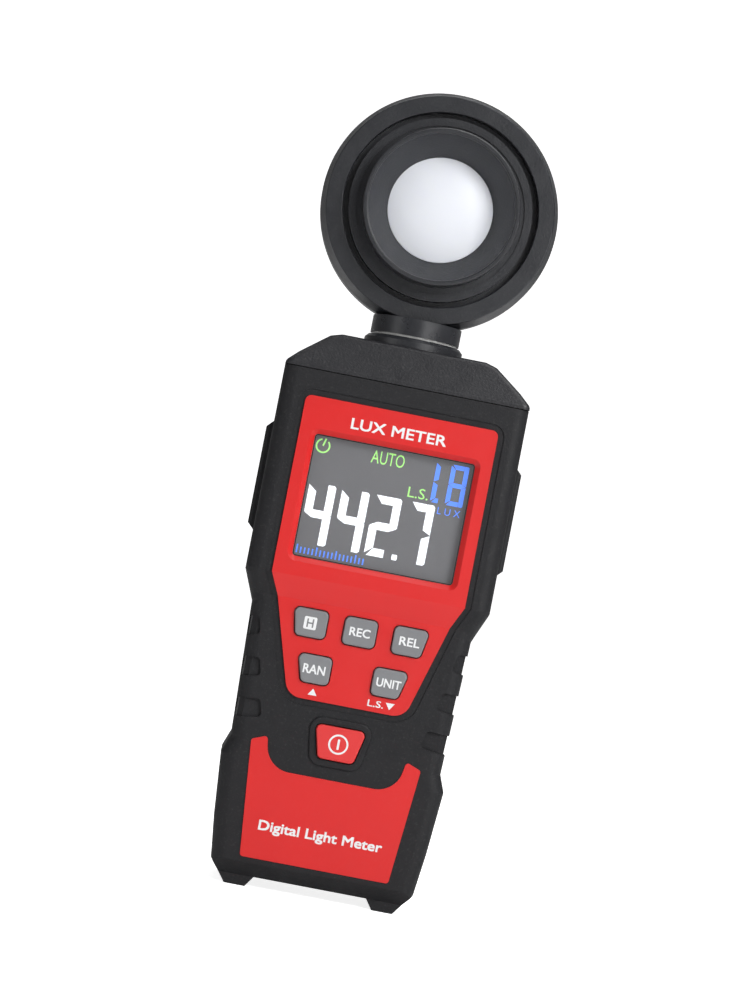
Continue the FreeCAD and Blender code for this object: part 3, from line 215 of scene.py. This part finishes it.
mouldedFinishes = {
    "red_shell": dict(colour=(0.68, 0.0085, 0.008), grainScale=2400, grainDepth=0.012, drift=0.10,
                      roughness=0.40, roughDrift=0.05, dust=0.02, coat=0.12),
    "black_rubber": dict(colour=(0.009, 0.009, 0.011), grainScale=2600, grainDepth=0.045, drift=0.35,
                         roughness=0.58, roughDrift=0.08, dust=0.05, specular=0.36),
    "black_shell": dict(colour=(0.013, 0.013, 0.016), grainScale=1900, grainDepth=0.07, drift=0.25,
                        roughness=0.44, roughDrift=0.06, dust=0.04),
    "head_black": dict(colour=(0.017, 0.018, 0.022), grainScale=2300, grainDepth=0.05, drift=0.2,
                       roughness=0.38, roughDrift=0.05, dust=0.04, specular=0.6),
    "neck_black": dict(colour=(0.022, 0.023, 0.027), grainScale=2600, grainDepth=0.008, drift=0.2,
                       roughness=0.30, roughDrift=0.06, dust=0.03, specular=0.6),
    "washer_nylon": dict(colour=(0.72, 0.72, 0.70), grainScale=1800, grainDepth=0.005, drift=0.1,
                         roughness=0.4, roughDrift=0.05, dust=0.05),
    "seat_black": dict(colour=(0.02, 0.02, 0.02), grainScale=2000, grainDepth=0.01, drift=0.2, roughness=0.6,
                       roughDrift=0.05, dust=0.02),
    "frame_black": dict(colour=(0.015, 0.015, 0.016), grainScale=2000, grainDepth=0.01, drift=0.2,
                        roughness=0.55, roughDrift=0.05, dust=0.0),
    "chip_black": dict(colour=(0.02, 0.02, 0.021), grainScale=4000, grainDepth=0.01, drift=0.2, roughness=0.5,
                       roughDrift=0.08, dust=0.0),
    "connector_white": dict(colour=(0.74, 0.71, 0.62), grainScale=2200, grainDepth=0.006, drift=0.15,
                            roughness=0.42, roughDrift=0.05, dust=0.0),
    "lead_grey": dict(colour=(0.16, 0.16, 0.17), grainScale=2200, grainDepth=0.008, drift=0.2, roughness=0.5,
                      roughDrift=0.05, dust=0.0),
    "light_white": dict(colour=(0.8, 0.81, 0.82), grainScale=2600, grainDepth=0.004, drift=0.05,
                        roughness=0.4, roughDrift=0.03, dust=0.0),
    "key_grey": dict(colour=(0.21, 0.215, 0.225), grainScale=2800, grainDepth=0.012, drift=0.12,
                     roughness=0.52, roughDrift=0.06, dust=0.02, sheen=0.05),
    "key_red": dict(colour=(0.72, 0.032, 0.032), grainScale=2800, grainDepth=0.012, drift=0.12,
                    roughness=0.46, roughDrift=0.05, dust=0.02, sheen=0.03),
    "mat_grey": dict(colour=(0.24, 0.24, 0.25), grainScale=2400, grainDepth=0.008, drift=0.15, roughness=0.6,
                     roughDrift=0.05, dust=0.0),
    "label_silver": dict(colour=(0.46, 0.46, 0.47), grainScale=5200, grainDepth=0.004, drift=0.1,
                         roughness=0.36, roughDrift=0.05, dust=0.03),
}


def diffuserMaterial():
    # opal plastic that lets light sink in a little
    material, tree, shader = startMaterial("diffuser_white")
    mould = nodeIn(tree, "ShaderNodeGroup", node_tree=groups["mould"])
    mould.inputs["Colour"].default_value = (0.80, 0.82, 0.87, 1)
    mould.inputs["Roughness"].default_value = 0.38
    mould.inputs["Tone Drift"].default_value = 0.03
    tree.links.new(mould.outputs["Colour"], shader.inputs["Base Color"])
    tree.links.new(mould.outputs["Roughness"], shader.inputs["Roughness"])
    shader.inputs["Subsurface Weight"].default_value = 0.35
    shader.inputs["Subsurface Radius"].default_value = (0.003, 0.003, 0.0035)
    bumpInto(tree, shader, mould.outputs["Height"], 0.006 * mm)
    return material


def clearMaterial(name, tint, roughness):
    # clear plastic or glass that lets light through to what lies behind it
    material, tree, shader = startMaterial(name)
    shader.inputs["Base Color"].default_value = (*tint, 1)
    shader.inputs["Transmission Weight"].default_value = 1.0
    shader.inputs["IOR"].default_value = 1.49
    haze = noiseIn(tree, 300.0, 3.0, nodeIn(tree, "ShaderNodeTexCoord").outputs["Object"]).outputs["Fac"]
    tree.links.new(mapped(tree, haze, roughness, roughness + 0.03, 0.35, 0.7), shader.inputs["Roughness"])
    seeThrough = nodeIn(tree, "ShaderNodeBsdfTransparent")
    seeThrough.inputs["Color"].default_value = (*tint, 1)
    path = nodeIn(tree, "ShaderNodeLightPath")
    passing = maths(tree, "MAXIMUM", path.outputs["Is Shadow Ray"], path.outputs["Is Diffuse Ray"])
    mixer = nodeIn(tree, "ShaderNodeMixShader")
    tree.links.new(passing, mixer.inputs[0])
    tree.links.new(shader.outputs[0], mixer.inputs[1])
    tree.links.new(seeThrough.outputs[0], mixer.inputs[2])
    output = next(n for n in tree.nodes if n.type == "OUTPUT_MATERIAL")
    tree.links.new(mixer.outputs[0], output.inputs["Surface"])
    return material


def metalMaterial(name, colour, roughness, centre=(0.0, 0.0, 0.0)):
    # plated or turned metal with lathe rings and slow stains
    material, tree, shader = startMaterial(name)
    mould = nodeIn(tree, "ShaderNodeGroup", node_tree=groups["mould"])
    mould.inputs["Colour"].default_value = (*colour, 1)
    mould.inputs["Grain Scale"].default_value = 1400.0
    mould.inputs["Tone Drift"].default_value = 0.35
    mould.inputs["Roughness"].default_value = roughness
    mould.inputs["Rough Drift"].default_value = 0.12
    tree.links.new(mould.outputs["Colour"], shader.inputs["Base Color"])
    tree.links.new(mould.outputs["Roughness"], shader.inputs["Roughness"])
    shader.inputs["Metallic"].default_value = 1.0
    turned = nodeIn(tree, "ShaderNodeGroup", node_tree=groups["turned"])
    turned.inputs["Centre"].default_value = centre
    bumpInto(tree, shader, turned.outputs["Height"], 0.01 * mm)
    return material


def boardMaterial():
    # solder mask with traces and pads worked out from a brick grid
    material, tree, shader = startMaterial("board_green")
    place = nodeIn(tree, "ShaderNodeTexCoord").outputs["Object"]
    turn = nodeIn(tree, "ShaderNodeMapping")
    turn.inputs["Rotation"].default_value = (math.pi / 2, 0, 0)
    tree.links.new(place, turn.inputs["Vector"])
    brick = nodeIn(tree, "ShaderNodeTexBrick")
    brick.inputs["Scale"].default_value = 260.0
    brick.inputs["Mortar Size"].default_value = 0.012
    brick.inputs["Color1"].default_value = (0.010, 0.11, 0.045, 1)
    brick.inputs["Color2"].default_value = (0.014, 0.14, 0.055, 1)
    brick.inputs["Mortar"].default_value = (0.03, 0.24, 0.10, 1)
    tree.links.new(turn.outputs[0], brick.inputs["Vector"])
    tree.links.new(brick.outputs["Color"], shader.inputs["Base Color"])
    shader.inputs["Roughness"].default_value = 0.32
    bumpInto(tree, shader, brick.outputs["Fac"], 0.02 * mm)
    return material


def cellMaterial():
    # a shrink sleeve with a coloured band, bare steel at both ends
    material, tree, shader = startMaterial("cell_jacket")
    cellLow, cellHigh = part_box("battery_1")
    split = nodeIn(tree, "ShaderNodeSeparateXYZ")
    tree.links.new(nodeIn(tree, "ShaderNodeTexCoord").outputs["Object"], split.inputs[0])
    along = mapped(tree, split.outputs["Z"], 0.0, 1.0, cellLow[2], cellHigh[2])
    ramp = nodeIn(tree, "ShaderNodeValToRGB")
    ramp.color_ramp.interpolation = "CONSTANT"
    stops = [(0.0, (0.62, 0.62, 0.63, 1)), (0.03, (0.015, 0.016, 0.02, 1)), (0.66, (0.70, 0.42, 0.10, 1)),
             (0.93, (0.62, 0.62, 0.63, 1))]
    ramp.color_ramp.elements[0].color = stops[0][1]
    ramp.color_ramp.elements[1].position = stops[1][0]
    ramp.color_ramp.elements[1].color = stops[1][1]
    for position, colour in stops[2:]:
        ramp.color_ramp.elements.new(position).color = colour
    tree.links.new(along, ramp.inputs[0])
    tree.links.new(ramp.outputs["Color"], shader.inputs["Base Color"])
    shader.inputs["Roughness"].default_value = 0.25
    shader.inputs["Metallic"].default_value = 0.35
    wrinkle = noiseIn(tree, 320.0, 2.0, nodeIn(tree, "ShaderNodeTexCoord").outputs["Object"]).outputs["Fac"]
    bumpInto(tree, shader, wrinkle, 0.03 * mm)
    return material


def screenMaterial():
    # the display's unlit ground: grey film with a faint sparkle, slightly lit from behind
    material, tree, shader = startMaterial("display_grey")
    place = nodeIn(tree, "ShaderNodeTexCoord").outputs["Object"]
    film = noiseIn(tree, 6000.0, 1.0, place).outputs["Fac"]
    tree.links.new(mixColour(tree, film, (0.115, 0.115, 0.12, 1), (0.14, 0.14, 0.146, 1)),
                   shader.inputs["Base Color"])
    shader.inputs["Roughness"].default_value = 0.45
    shader.inputs["Emission Color"].default_value = (0.19, 0.19, 0.2, 1)
    shader.inputs["Emission Strength"].default_value = 0.22
    bumpInto(tree, shader, film, 0.002 * mm)
    return material


def printMaterial(name, colour, glow=0.0):
    # printed ink, a lit display segment or painted shade, with a slight mottle
    material, tree, shader = startMaterial(name)
    place = nodeIn(tree, "ShaderNodeTexCoord").outputs["Object"]
    mottle = noiseIn(tree, 2500.0, 2.0, place).outputs["Fac"]
    dull = tuple(c * 0.9 for c in colour) + (1,)
    tree.links.new(mixColour(tree, mottle, (*colour, 1), dull), shader.inputs["Base Color"])
    shader.inputs["Roughness"].default_value = 0.5
    shader.inputs["Emission Color"].default_value = (*colour, 1)
    shader.inputs["Emission Strength"].default_value = glow
    return material


headMiddle = (np.array(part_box("head_rear_cover")[0]) + np.array(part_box("head_rear_cover")[1])) / 2
tripodMiddle = (np.array(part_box("tripod_insert")[0]) + np.array(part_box("tripod_insert")[1])) / 2
materials = {name: mouldedMaterial(name, finish) for name, finish in mouldedFinishes.items()}
materials["diffuser_white"] = diffuserMaterial()
materials["window_clear"] = clearMaterial("window_clear", (0.97, 0.975, 0.98), 0.01)
materials["filter_green"] = clearMaterial("filter_green", (0.55, 0.75, 0.55), 0.02)
materials["steel"] = metalMaterial("steel", (0.58, 0.58, 0.60), 0.3)
materials["diode_case"] = metalMaterial("diode_case", (0.62, 0.6, 0.55), 0.25, tuple(headMiddle))
materials["brass"] = metalMaterial("brass", (0.72, 0.50, 0.22), 0.28, tuple(tripodMiddle))
materials["board_green"] = boardMaterial()
materials["cell_jacket"] = cellMaterial()
materials["display_grey"] = screenMaterial()
inks = {
    "white": printMaterial("ink_white", (0.86, 0.87, 0.88)),
    "segmentWhite": printMaterial("segment_white", (0.95, 0.97, 1.0), 0.55),
    "segmentBlue": printMaterial("segment_blue", (0.09, 0.22, 0.80), 0.75),
    "segmentGreen": printMaterial("segment_green", (0.35, 0.72, 0.20), 0.6),
    # the shadow ink is painted shade, laid along the display window's inner edge
    "shadow": printMaterial("ink_shadow", (0.01, 0.01, 0.01)),
}
for entry in frame["record"]["subparts"]:
    for index in range(len(nodes[entry["node"]].material_slots)):
        nodes[entry["node"]].material_slots[index].material = materials[entry["material_slot"]]
print("stage: materials")


def finishPiece(name, vertices, faces, material, body):
    mesh = bpy.data.meshes.new(name)
    mesh.from_pydata([tuple(v) for v in vertices], [], faces)
    mesh.validate()
    mesh.update()
    piece = bpy.data.objects.new(name, mesh)
    bpy.context.scene.collection.objects.link(piece)
    mesh.materials.append(material)
    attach(piece, body)
    return piece


def slabs(name, outlines, face, depth, material, body):
    # each outline, an (n, 2) array of x and z, becomes a thin prism from face towards the viewer by depth
    vertices = []
    faces = []
    for outline in outlines:
        outline = np.asarray(outline, dtype=float)
        area = np.sum(outline[:, 0] * np.roll(outline[:, 1], -1) - np.roll(outline[:, 0], -1) * outline[:, 1])
        if area < 0:
            outline = outline[::-1]
        count = len(outline)
        first = len(vertices)
        for level in (face, face - depth):
            vertices += [(x, level, z) for x, z in outline]
        faces.append([first + i for i in range(count)][::-1])
        faces.append([first + count + i for i in range(count)])
        faces += [[first + i, first + (i + 1) % count, first + count + (i + 1) % count, first + count + i]
                  for i in range(count)]
    return finishPiece(name, vertices, faces, material, body)


boldTurns = [math.pi / 4 + math.pi / 2 * quarter for quarter in range(4)]
boldStep = 0.006 * mm


def textSlab(name, words, height, centre, face, depth, material, body, width=None, bold=0.0):
    # built-in font outlines, scaled to a height, centred on (x, z) and laid on the face
    curve = bpy.data.curves.new(name, "FONT")
    curve.body = words
    curve.extrude = 0.5
    curve.resolution_u = 3
    holder = bpy.data.objects.new(name, curve)
    bpy.context.scene.collection.objects.link(holder)
    bpy.context.view_layer.update()
    mesh = bpy.data.meshes.new_from_object(holder)
    bpy.data.objects.remove(holder)
    points = np.empty(len(mesh.vertices) * 3)
    mesh.vertices.foreach_get("co", points)
    points = points.reshape(-1, 3)
    low, high = points.min(0), points.max(0)
    tall = height / (high[1] - low[1])
    wide = tall if width is None else width / (high[0] - low[0])
    across = (points[:, 0] - (low[0] + high[0]) / 2) * wide + centre[0]
    up = (points[:, 1] - (low[1] + high[1]) / 2) * tall + centre[1]
    back = face - depth * (points[:, 2] - low[2]) / (high[2] - low[2])
    places = np.column_stack([across, back, up])
    faces = [tuple(polygon.vertices) for polygon in mesh.polygons]
    bpy.data.meshes.remove(mesh)
    if bold:
        # a thicker stroke: copies of the letters set a little to each side, each at its own level
        shifts = [np.array([bold * math.cos(turn), -boldStep * order, bold * math.sin(turn)])
                  for order, turn in enumerate(boldTurns)]
        count = len(places)
        faces = [tuple(corner + index * count for corner in loop)
                 for index in range(len(shifts)) for loop in faces]
        places = np.vstack([places + shift for shift in shifts])
    mesh = bpy.data.meshes.new(name)
    mesh.from_pydata(places.tolist(), [], faces)
    mesh.update()
    piece = bpy.data.objects.new(name, mesh)
    bpy.context.scene.collection.objects.link(piece)
    mesh.materials.append(material)
    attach(piece, body)
    return piece


def ringOutline(centre, outer, inner, start=0.0, sweep=2 * math.pi, count=40):
    # a band between two radii, as one closed outline that runs out along one edge and back along the other
    turn = start + sweep * np.linspace(0, 1, count)
    ray = np.column_stack([np.cos(turn), np.sin(turn)])
    return np.vstack([centre + outer * ray, (centre + inner * ray)[::-1]])


def roundedBox(centre, half, corner, count=6):
    # four quarter arcs joined by straight sides
    turn = np.linspace(0, math.pi / 2, count)
    arcs = []
    for index, (sx, sz) in enumerate(((1, 1), (-1, 1), (-1, -1), (1, -1))):
        angle = turn + index * math.pi / 2
        middle = np.array(centre) + np.array([sx * (half[0] - corner), sz * (half[1] - corner)])
        arcs.append(middle + corner * np.column_stack([np.cos(angle), np.sin(angle)]))
    return np.vstack(arcs)


def frameOutlines(centre, half, corner, thick):
    # a rounded frame as four strips between an outer and an inner rounded box
    outer = roundedBox(centre, half, corner)
    inner = roundedBox(centre, (half[0] - thick, half[1] - thick), max(corner - thick, 0.01 * mm))
    count = len(outer)
    after = [(i + 1) % count for i in range(count)]
    return [np.array([outer[i], outer[j], inner[j], inner[i]]) for i, j in enumerate(after)]


segmentSets = {"4": "fgbc", "2": "abged", "7": "abc", "L": "fed", "8": "abcdefg"}


def segmentDigit(figure, left, low, width, height, stroke, gap):
    # bars along the sides of the figure's box and across its middle: mitred on the left, square on the right
    right, high, middle = left + width, low + height, low + height / 2
    corner, half = stroke * 0.22, stroke / 2
    upright = [(0, height - corner - gap), (0, height / 2 + gap), (stroke, height / 2 + half + gap),
               (stroke, height - stroke - gap)]
    post = [(0, height - corner), (corner, height), (stroke, height), (stroke, height / 2 + half + gap),
            (0, height / 2 + gap)]
    level = [(corner + gap, 0), (stroke + gap, -stroke), (width - stroke - gap, -stroke),
             (width - stroke - gap, 0)]
    bar = [(gap, 0), (stroke, half), (width - stroke, half), (width - gap, 0), (width - stroke, -half),
           (stroke, -half)]
    shapes = {
        "a": [(left + x, high + z) for x, z in level], "d": [(left + x, low - z) for x, z in level],
        "f": [(left + x, low + z) for x, z in upright], "e": [(left + x, high - z) for x, z in upright],
        "b": [(right - x, low + z) for x, z in post], "c": [(right - x, high - z) for x, z in post],
        "g": [(left + x, middle + z) for x, z in bar],
    }
    return [np.array(shapes[letter]) for letter in segmentSets[figure]]


display = {
    "mainLow": 79.7, "mainHigh": 93.7, "mainStroke": 1.85, "mainFigures": "4427",
    "mainLefts": (-17.8, -10.15, -2.6, 5.7), "mainWidths": (6.25, 6.4, 6.4, 5.8),
    "pointLeft": 3.8, "pointSize": 1.25,
    "smallLow": 94.4, "smallHigh": 103.8, "smallStroke": 1.05,
    "smallLefts": (10.0, 13.45), "smallWidths": (2.9, 4.1),
    "barLeft": -17.8, "barStep": 0.905, "barCount": 18, "barLow": 77.25, "barTall": 1.45, "barLong": 1.95,
    "barHalf": 0.17, "barEvery": 5, "smallFigures": "L8",
    "words": {"display_unit": ("L U X", 1.6, (14.75, 92.8), 5.3, "segmentBlue"),
              "display_auto": ("AUTO", 3.0, (-1.2, 102.15), 7.7, "segmentGreen"),
              "display_source": ("L.S.", 2.4, (7.05, 95.75), 4.7, "segmentGreen")},
    "signCentre": (-16.4, 102.3), "signOuter": 1.7, "signInner": 1.32, "signTilt": -15, "signBarHalf": 0.2,
    "signBarTall": 1.8, "signStart": 105, "signSweep": 300,
    "gap": 0.07, "print": 0.03, "paintedShade": 0.22, "pointCorner": 0.2, "paintedShadeCorner": 0.7,
}


def makeDisplayFigures():
    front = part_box("display_panel")[0][1] - 0.01 * mm
    depth = display["print"] * mm
    gap = display["gap"] * mm
    main = []
    for figure, left, width in zip(display["mainFigures"], display["mainLefts"], display["mainWidths"]):
        main += segmentDigit(figure, left * mm, display["mainLow"] * mm, width * mm,
                             (display["mainHigh"] - display["mainLow"]) * mm, display["mainStroke"] * mm, gap)
    half = display["pointSize"] * mm / 2
    point = (display["pointLeft"] * mm + half, display["mainLow"] * mm + half)
    main.append(roundedBox(point, (half, half), display["pointCorner"] * mm))
    slabs("display_reading", main, front, depth, inks["segmentWhite"], "housing")
    small = []
    for figure, left, width in zip(display["smallFigures"], display["smallLefts"], display["smallWidths"]):
        small += segmentDigit(figure, left * mm, display["smallLow"] * mm, width * mm,
                              (display["smallHigh"] - display["smallLow"]) * mm,
                              display["smallStroke"] * mm, gap)
    for index in range(display["barCount"]):
        tall = display["barLong"] if index % display["barEvery"] == 0 else display["barTall"]
        middle = (display["barLeft"] + index * display["barStep"]) * mm
        side = display["barHalf"]
        bar = np.array([[-side, 0], [side, 0], [side, tall], [-side, tall]]) * mm
        small.append(bar + np.array([middle, display["barLow"] * mm]))
    slabs("display_range_figures", small, front, depth, inks["segmentBlue"], "housing")
    for name, (words, height, centre, width, ink) in display["words"].items():
        textSlab(name, words, height * mm, np.array(centre) * mm, front, depth, inks[ink],
                 "housing", width * mm)
    middle = np.array(display["signCentre"]) * mm
    turn = math.radians(display["signTilt"])
    spin = np.array([[math.cos(turn), -math.sin(turn)], [math.sin(turn), math.cos(turn)]])
    side, tall = display["signBarHalf"], display["signBarTall"]
    bar = np.array([[-side, 0.0], [side, 0.0], [side, tall], [-side, tall]]) * mm
    ring = ringOutline(middle, display["signOuter"] * mm, display["signInner"] * mm,
                       math.radians(display["signStart"]), math.radians(display["signSweep"]))
    icon = [ring, bar @ spin.T + middle]
    slabs("display_power_sign", icon, front, depth, inks["segmentGreen"], "housing")
    low, high = (np.array(corner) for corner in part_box("display_panel"))
    centre = ((low + high) / 2)[[0, 2]]
    half = ((high - low) / 2)[[0, 2]] - 0.02 * mm
    # a thin dark frame round the window's inner edge: painted shade where the screen meets the bezel
    paintedShade = frameOutlines(centre, half, display["paintedShadeCorner"] * mm, display["paintedShade"] * mm)
    slabs("display_painted_shade", paintedShade,
          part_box("display_window")[0][1], 0.02 * mm, inks["shadow"], "housing")


makeDisplayFigures()
print("stage: display figures")


legends = {
    "print": 0.02,
    "key_record": ("REC", 1.9, 4.7), "key_relative": ("REL", 1.9, 4.6), "key_range": ("RAN", 2.0, 5.0),
    "key_unit": ("UNIT", 1.9, 5.6),
    "holdPlate": 1.45, "holdCorner": 0.35,
    "powerRing": 2.3, "powerStroke": 0.42,
    "holdLetter": (1.9, 1.5), "signBar": (0.6, 0.52), "signBarCorner": 0.15,
    "arrowHalf": 1.05, "arrowTall": 1.55, "arrowLow": 45.9, "upArrow": -8.0, "downArrow": 9.9,
    "source": ("L.S.", 1.5, (6.6, 46.7), 3.6, 0.04),
    "panelTop": ("LUX METER", 2.4, (0.0, 108.5), 22.0, 0.09),
    "panelLow": ("Digital Light Meter", 2.9, (0.0, 14.4), 28.5, 0.11),
    "keyBold": 0.08, "holdBold": 0.05, "probeHeight": 19.5, "probeReach": 100.0,
}


def keyFace(name):
    low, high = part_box(name)
    return low[1], (low[0] + high[0]) / 2, (low[2] + high[2]) / 2


def makeLegends():
    depth = legends["print"] * mm
    for key in ("key_record", "key_relative", "key_range", "key_unit"):
        words, height, width = legends[key]
        face, x, z = keyFace(key)
        textSlab(key + "_legend", words, height * mm, (x, z), face, depth, inks["white"], key,
                 width * mm, legends["keyBold"] * mm)
    face, x, z = keyFace("key_hold")
    half = legends["holdPlate"] * mm
    slabs("key_hold_plate", [roundedBox((x, z), (half, half), legends["holdCorner"] * mm)], face, depth,
          inks["white"], "key_hold")
    tall, wide = legends["holdLetter"]
    textSlab("key_hold_legend", "H", tall * mm, (x, z), face - depth, depth, materials["key_grey"],
             "key_hold", wide * mm, legends["holdBold"] * mm)
    face, x, z = keyFace("key_power")
    ring = legends["powerRing"] * mm
    stroke = legends["powerStroke"] * mm
    middle = np.array([x, z])
    quarter = math.pi / 2
    sign = [ringOutline(middle, ring, ring - stroke, turn, quarter, 14) for turn in np.arange(4) * quarter]
    thick, long = legends["signBar"]
    sign.append(roundedBox(middle, (stroke * thick, ring * long), legends["signBarCorner"] * mm))
    slabs("key_power_sign", sign, face, depth, inks["white"], "key_power")
    panel = keypadFace()
    side, tall, low = legends["arrowHalf"], legends["arrowTall"], legends["arrowLow"]
    up = np.array([[-side, 0], [side, 0], [0, tall]]) * mm + np.array([legends["upArrow"], low]) * mm
    slabs("legend_up_arrow", [up], panel, depth, inks["white"], "housing")
    down = np.array([[-side, tall], [side, tall], [0, 0]]) * mm + np.array([legends["downArrow"], low]) * mm
    slabs("legend_down_arrow", [down], panel, depth, inks["white"], "housing")
    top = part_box("front_shell")[0][1]
    for name, key, face in (("legend_source", "source", panel), ("legend_kind", "panelLow", panel),
                            ("legend_top", "panelTop", top)):
        words, height, centre, width, bold = legends[key]
        textSlab(name, words, height * mm, np.array(centre) * mm, face, depth, inks["white"],
                 "housing", width * mm, bold * mm)


def keypadFace():
    # the level of the red panels below the display, found from the shell's own surface
    shell = nodes["front_shell"]
    start = Vector((0, -legends["probeReach"] * mm, legends["probeHeight"] * mm))
    return shell.ray_cast(start, Vector((0, 1, 0)))[1].y


makeLegends()
print("stage: legends")


studio = {
    "floorColour": (0.93, 0.93, 0.93), "floorLift": 0.85,
    "worldColour": (1.0, 1.0, 1.0), "worldStrength": 0.16,
    "aim": (-2.29, -12.0, 92.45), "distance": 700.0, "azimuth": -1.85, "elevation": -1.3, "roll": 11.0,
    "viewHeight": 229.463, "sweepRadius": 0.6, "sweepBack": 1.2, "sweepHalf": 4.0, "sweepFront": -4.0,
    "sweepNear": -1.0, "wallTop": 4.0, "lightTarget": (0, 0, 0.1),
    "lights": {"keyLight": ((0.55, -0.7, 0.6), (0.5, 0.5), 8.0),
               "fillLight": ((-0.8, -0.6, 0.35), (0.5, 0.8), 1.0),
               "lowLight": ((0.3, -0.75, 0.05), (0.25, 0.4), 0.6),
               "topLight": ((0.1, 0.1, 1.0), (0.8, 0.5), 5.0)},
}


def makeFloor():
    # a flat sheet that curves up far behind into a wall: z = 0 in front, a quarter arc, then upright
    radius, back, half = studio["sweepRadius"], studio["sweepBack"], studio["sweepHalf"]
    turn = np.linspace(0, math.pi / 2, 17)
    near = [studio["sweepFront"], studio["sweepNear"]]
    depth = np.concatenate([near, back + radius * np.sin(turn), [back + radius]])
    rise = np.concatenate([[0.0, 0.0], radius * (1 - np.cos(turn)), [studio["wallTop"]]])
    across = np.array([-half, half])
    vertices = np.array([(x, y, z) for y, z in zip(depth, rise) for x in across])
    faces = [[2 * i, 2 * i + 1, 2 * i + 3, 2 * i + 2] for i in range(len(depth) - 1)]
    mesh = bpy.data.meshes.new("floor")
    mesh.from_pydata([tuple(v) for v in vertices], [], faces)
    mesh.polygons.foreach_set("use_smooth", [True] * len(mesh.polygons))
    floor = bpy.data.objects.new("floor", mesh)
    bpy.context.scene.collection.objects.link(floor)
    material, tree, shader = startMaterial("floor_paper")
    paper = noiseIn(tree, 60.0, 3.0, nodeIn(tree, "ShaderNodeTexCoord").outputs["Object"]).outputs["Fac"]
    pale = studio["floorColour"]
    tree.links.new(mixColour(tree, paper, (*pale, 1), tuple(c * 0.985 for c in pale) + (1,)),
                   shader.inputs["Base Color"])
    shader.inputs["Roughness"].default_value = 0.8
    path = nodeIn(tree, "ShaderNodeLightPath")
    tree.links.new(maths(tree, "MULTIPLY", path.outputs["Is Camera Ray"], studio["floorLift"]),
                   shader.inputs["Emission Strength"])
    mesh.materials.append(material)


def areaLight(name, place, size, power):
    lamp = bpy.data.lights.new(name, "AREA")
    lamp.shape = "RECTANGLE"
    lamp.size, lamp.size_y = size
    lamp.energy = power
    holder = bpy.data.objects.new(name, lamp)
    holder.location = place
    aim = Vector(studio["lightTarget"]) - Vector(place)
    holder.rotation_euler = aim.to_track_quat("-Z", "Y").to_euler()
    bpy.context.scene.collection.objects.link(holder)


def makeLights():
    world = bpy.data.worlds.new("studioWorld")
    world.use_nodes = True
    background = next(n for n in world.node_tree.nodes if n.type == "BACKGROUND")
    background.inputs[0].default_value = (*studio["worldColour"], 1)
    background.inputs[1].default_value = studio["worldStrength"]
    bpy.context.scene.world = world
    for name, (place, size, power) in studio["lights"].items():
        areaLight(name, place, size, power)


def makeCamera():
    azimuth, elevation, roll = (math.radians(studio[k]) for k in ("azimuth", "elevation", "roll"))
    back = Vector((math.sin(azimuth) * math.cos(elevation), -math.cos(azimuth) * math.cos(elevation),
                   math.sin(elevation)))
    level = Vector((0, 0, 1)).cross(back).normalized()
    rise = back.cross(level)
    right = level * math.cos(roll) + rise * math.sin(roll)
    up = rise * math.cos(roll) - level * math.sin(roll)
    lens = bpy.data.cameras.new("camera")
    lens.sensor_width = 36.0
    distance = studio["distance"] * mm
    lens.lens = lens.sensor_width * studio["distance"] / studio["viewHeight"]
    lens.clip_start, lens.clip_end = 0.02, 50
    holder = bpy.data.objects.new("camera", lens)
    place = Vector([v * mm for v in studio["aim"]]) + back * distance
    holder.matrix_world = Matrix.Translation(place) @ Matrix((right, up, back)).transposed().to_4x4()
    bpy.context.scene.collection.objects.link(holder)
    bpy.context.scene.camera = holder


makeFloor()
makeLights()
makeCamera()
bpy.context.scene.view_settings.view_transform = "Standard"
print("stage: studio")
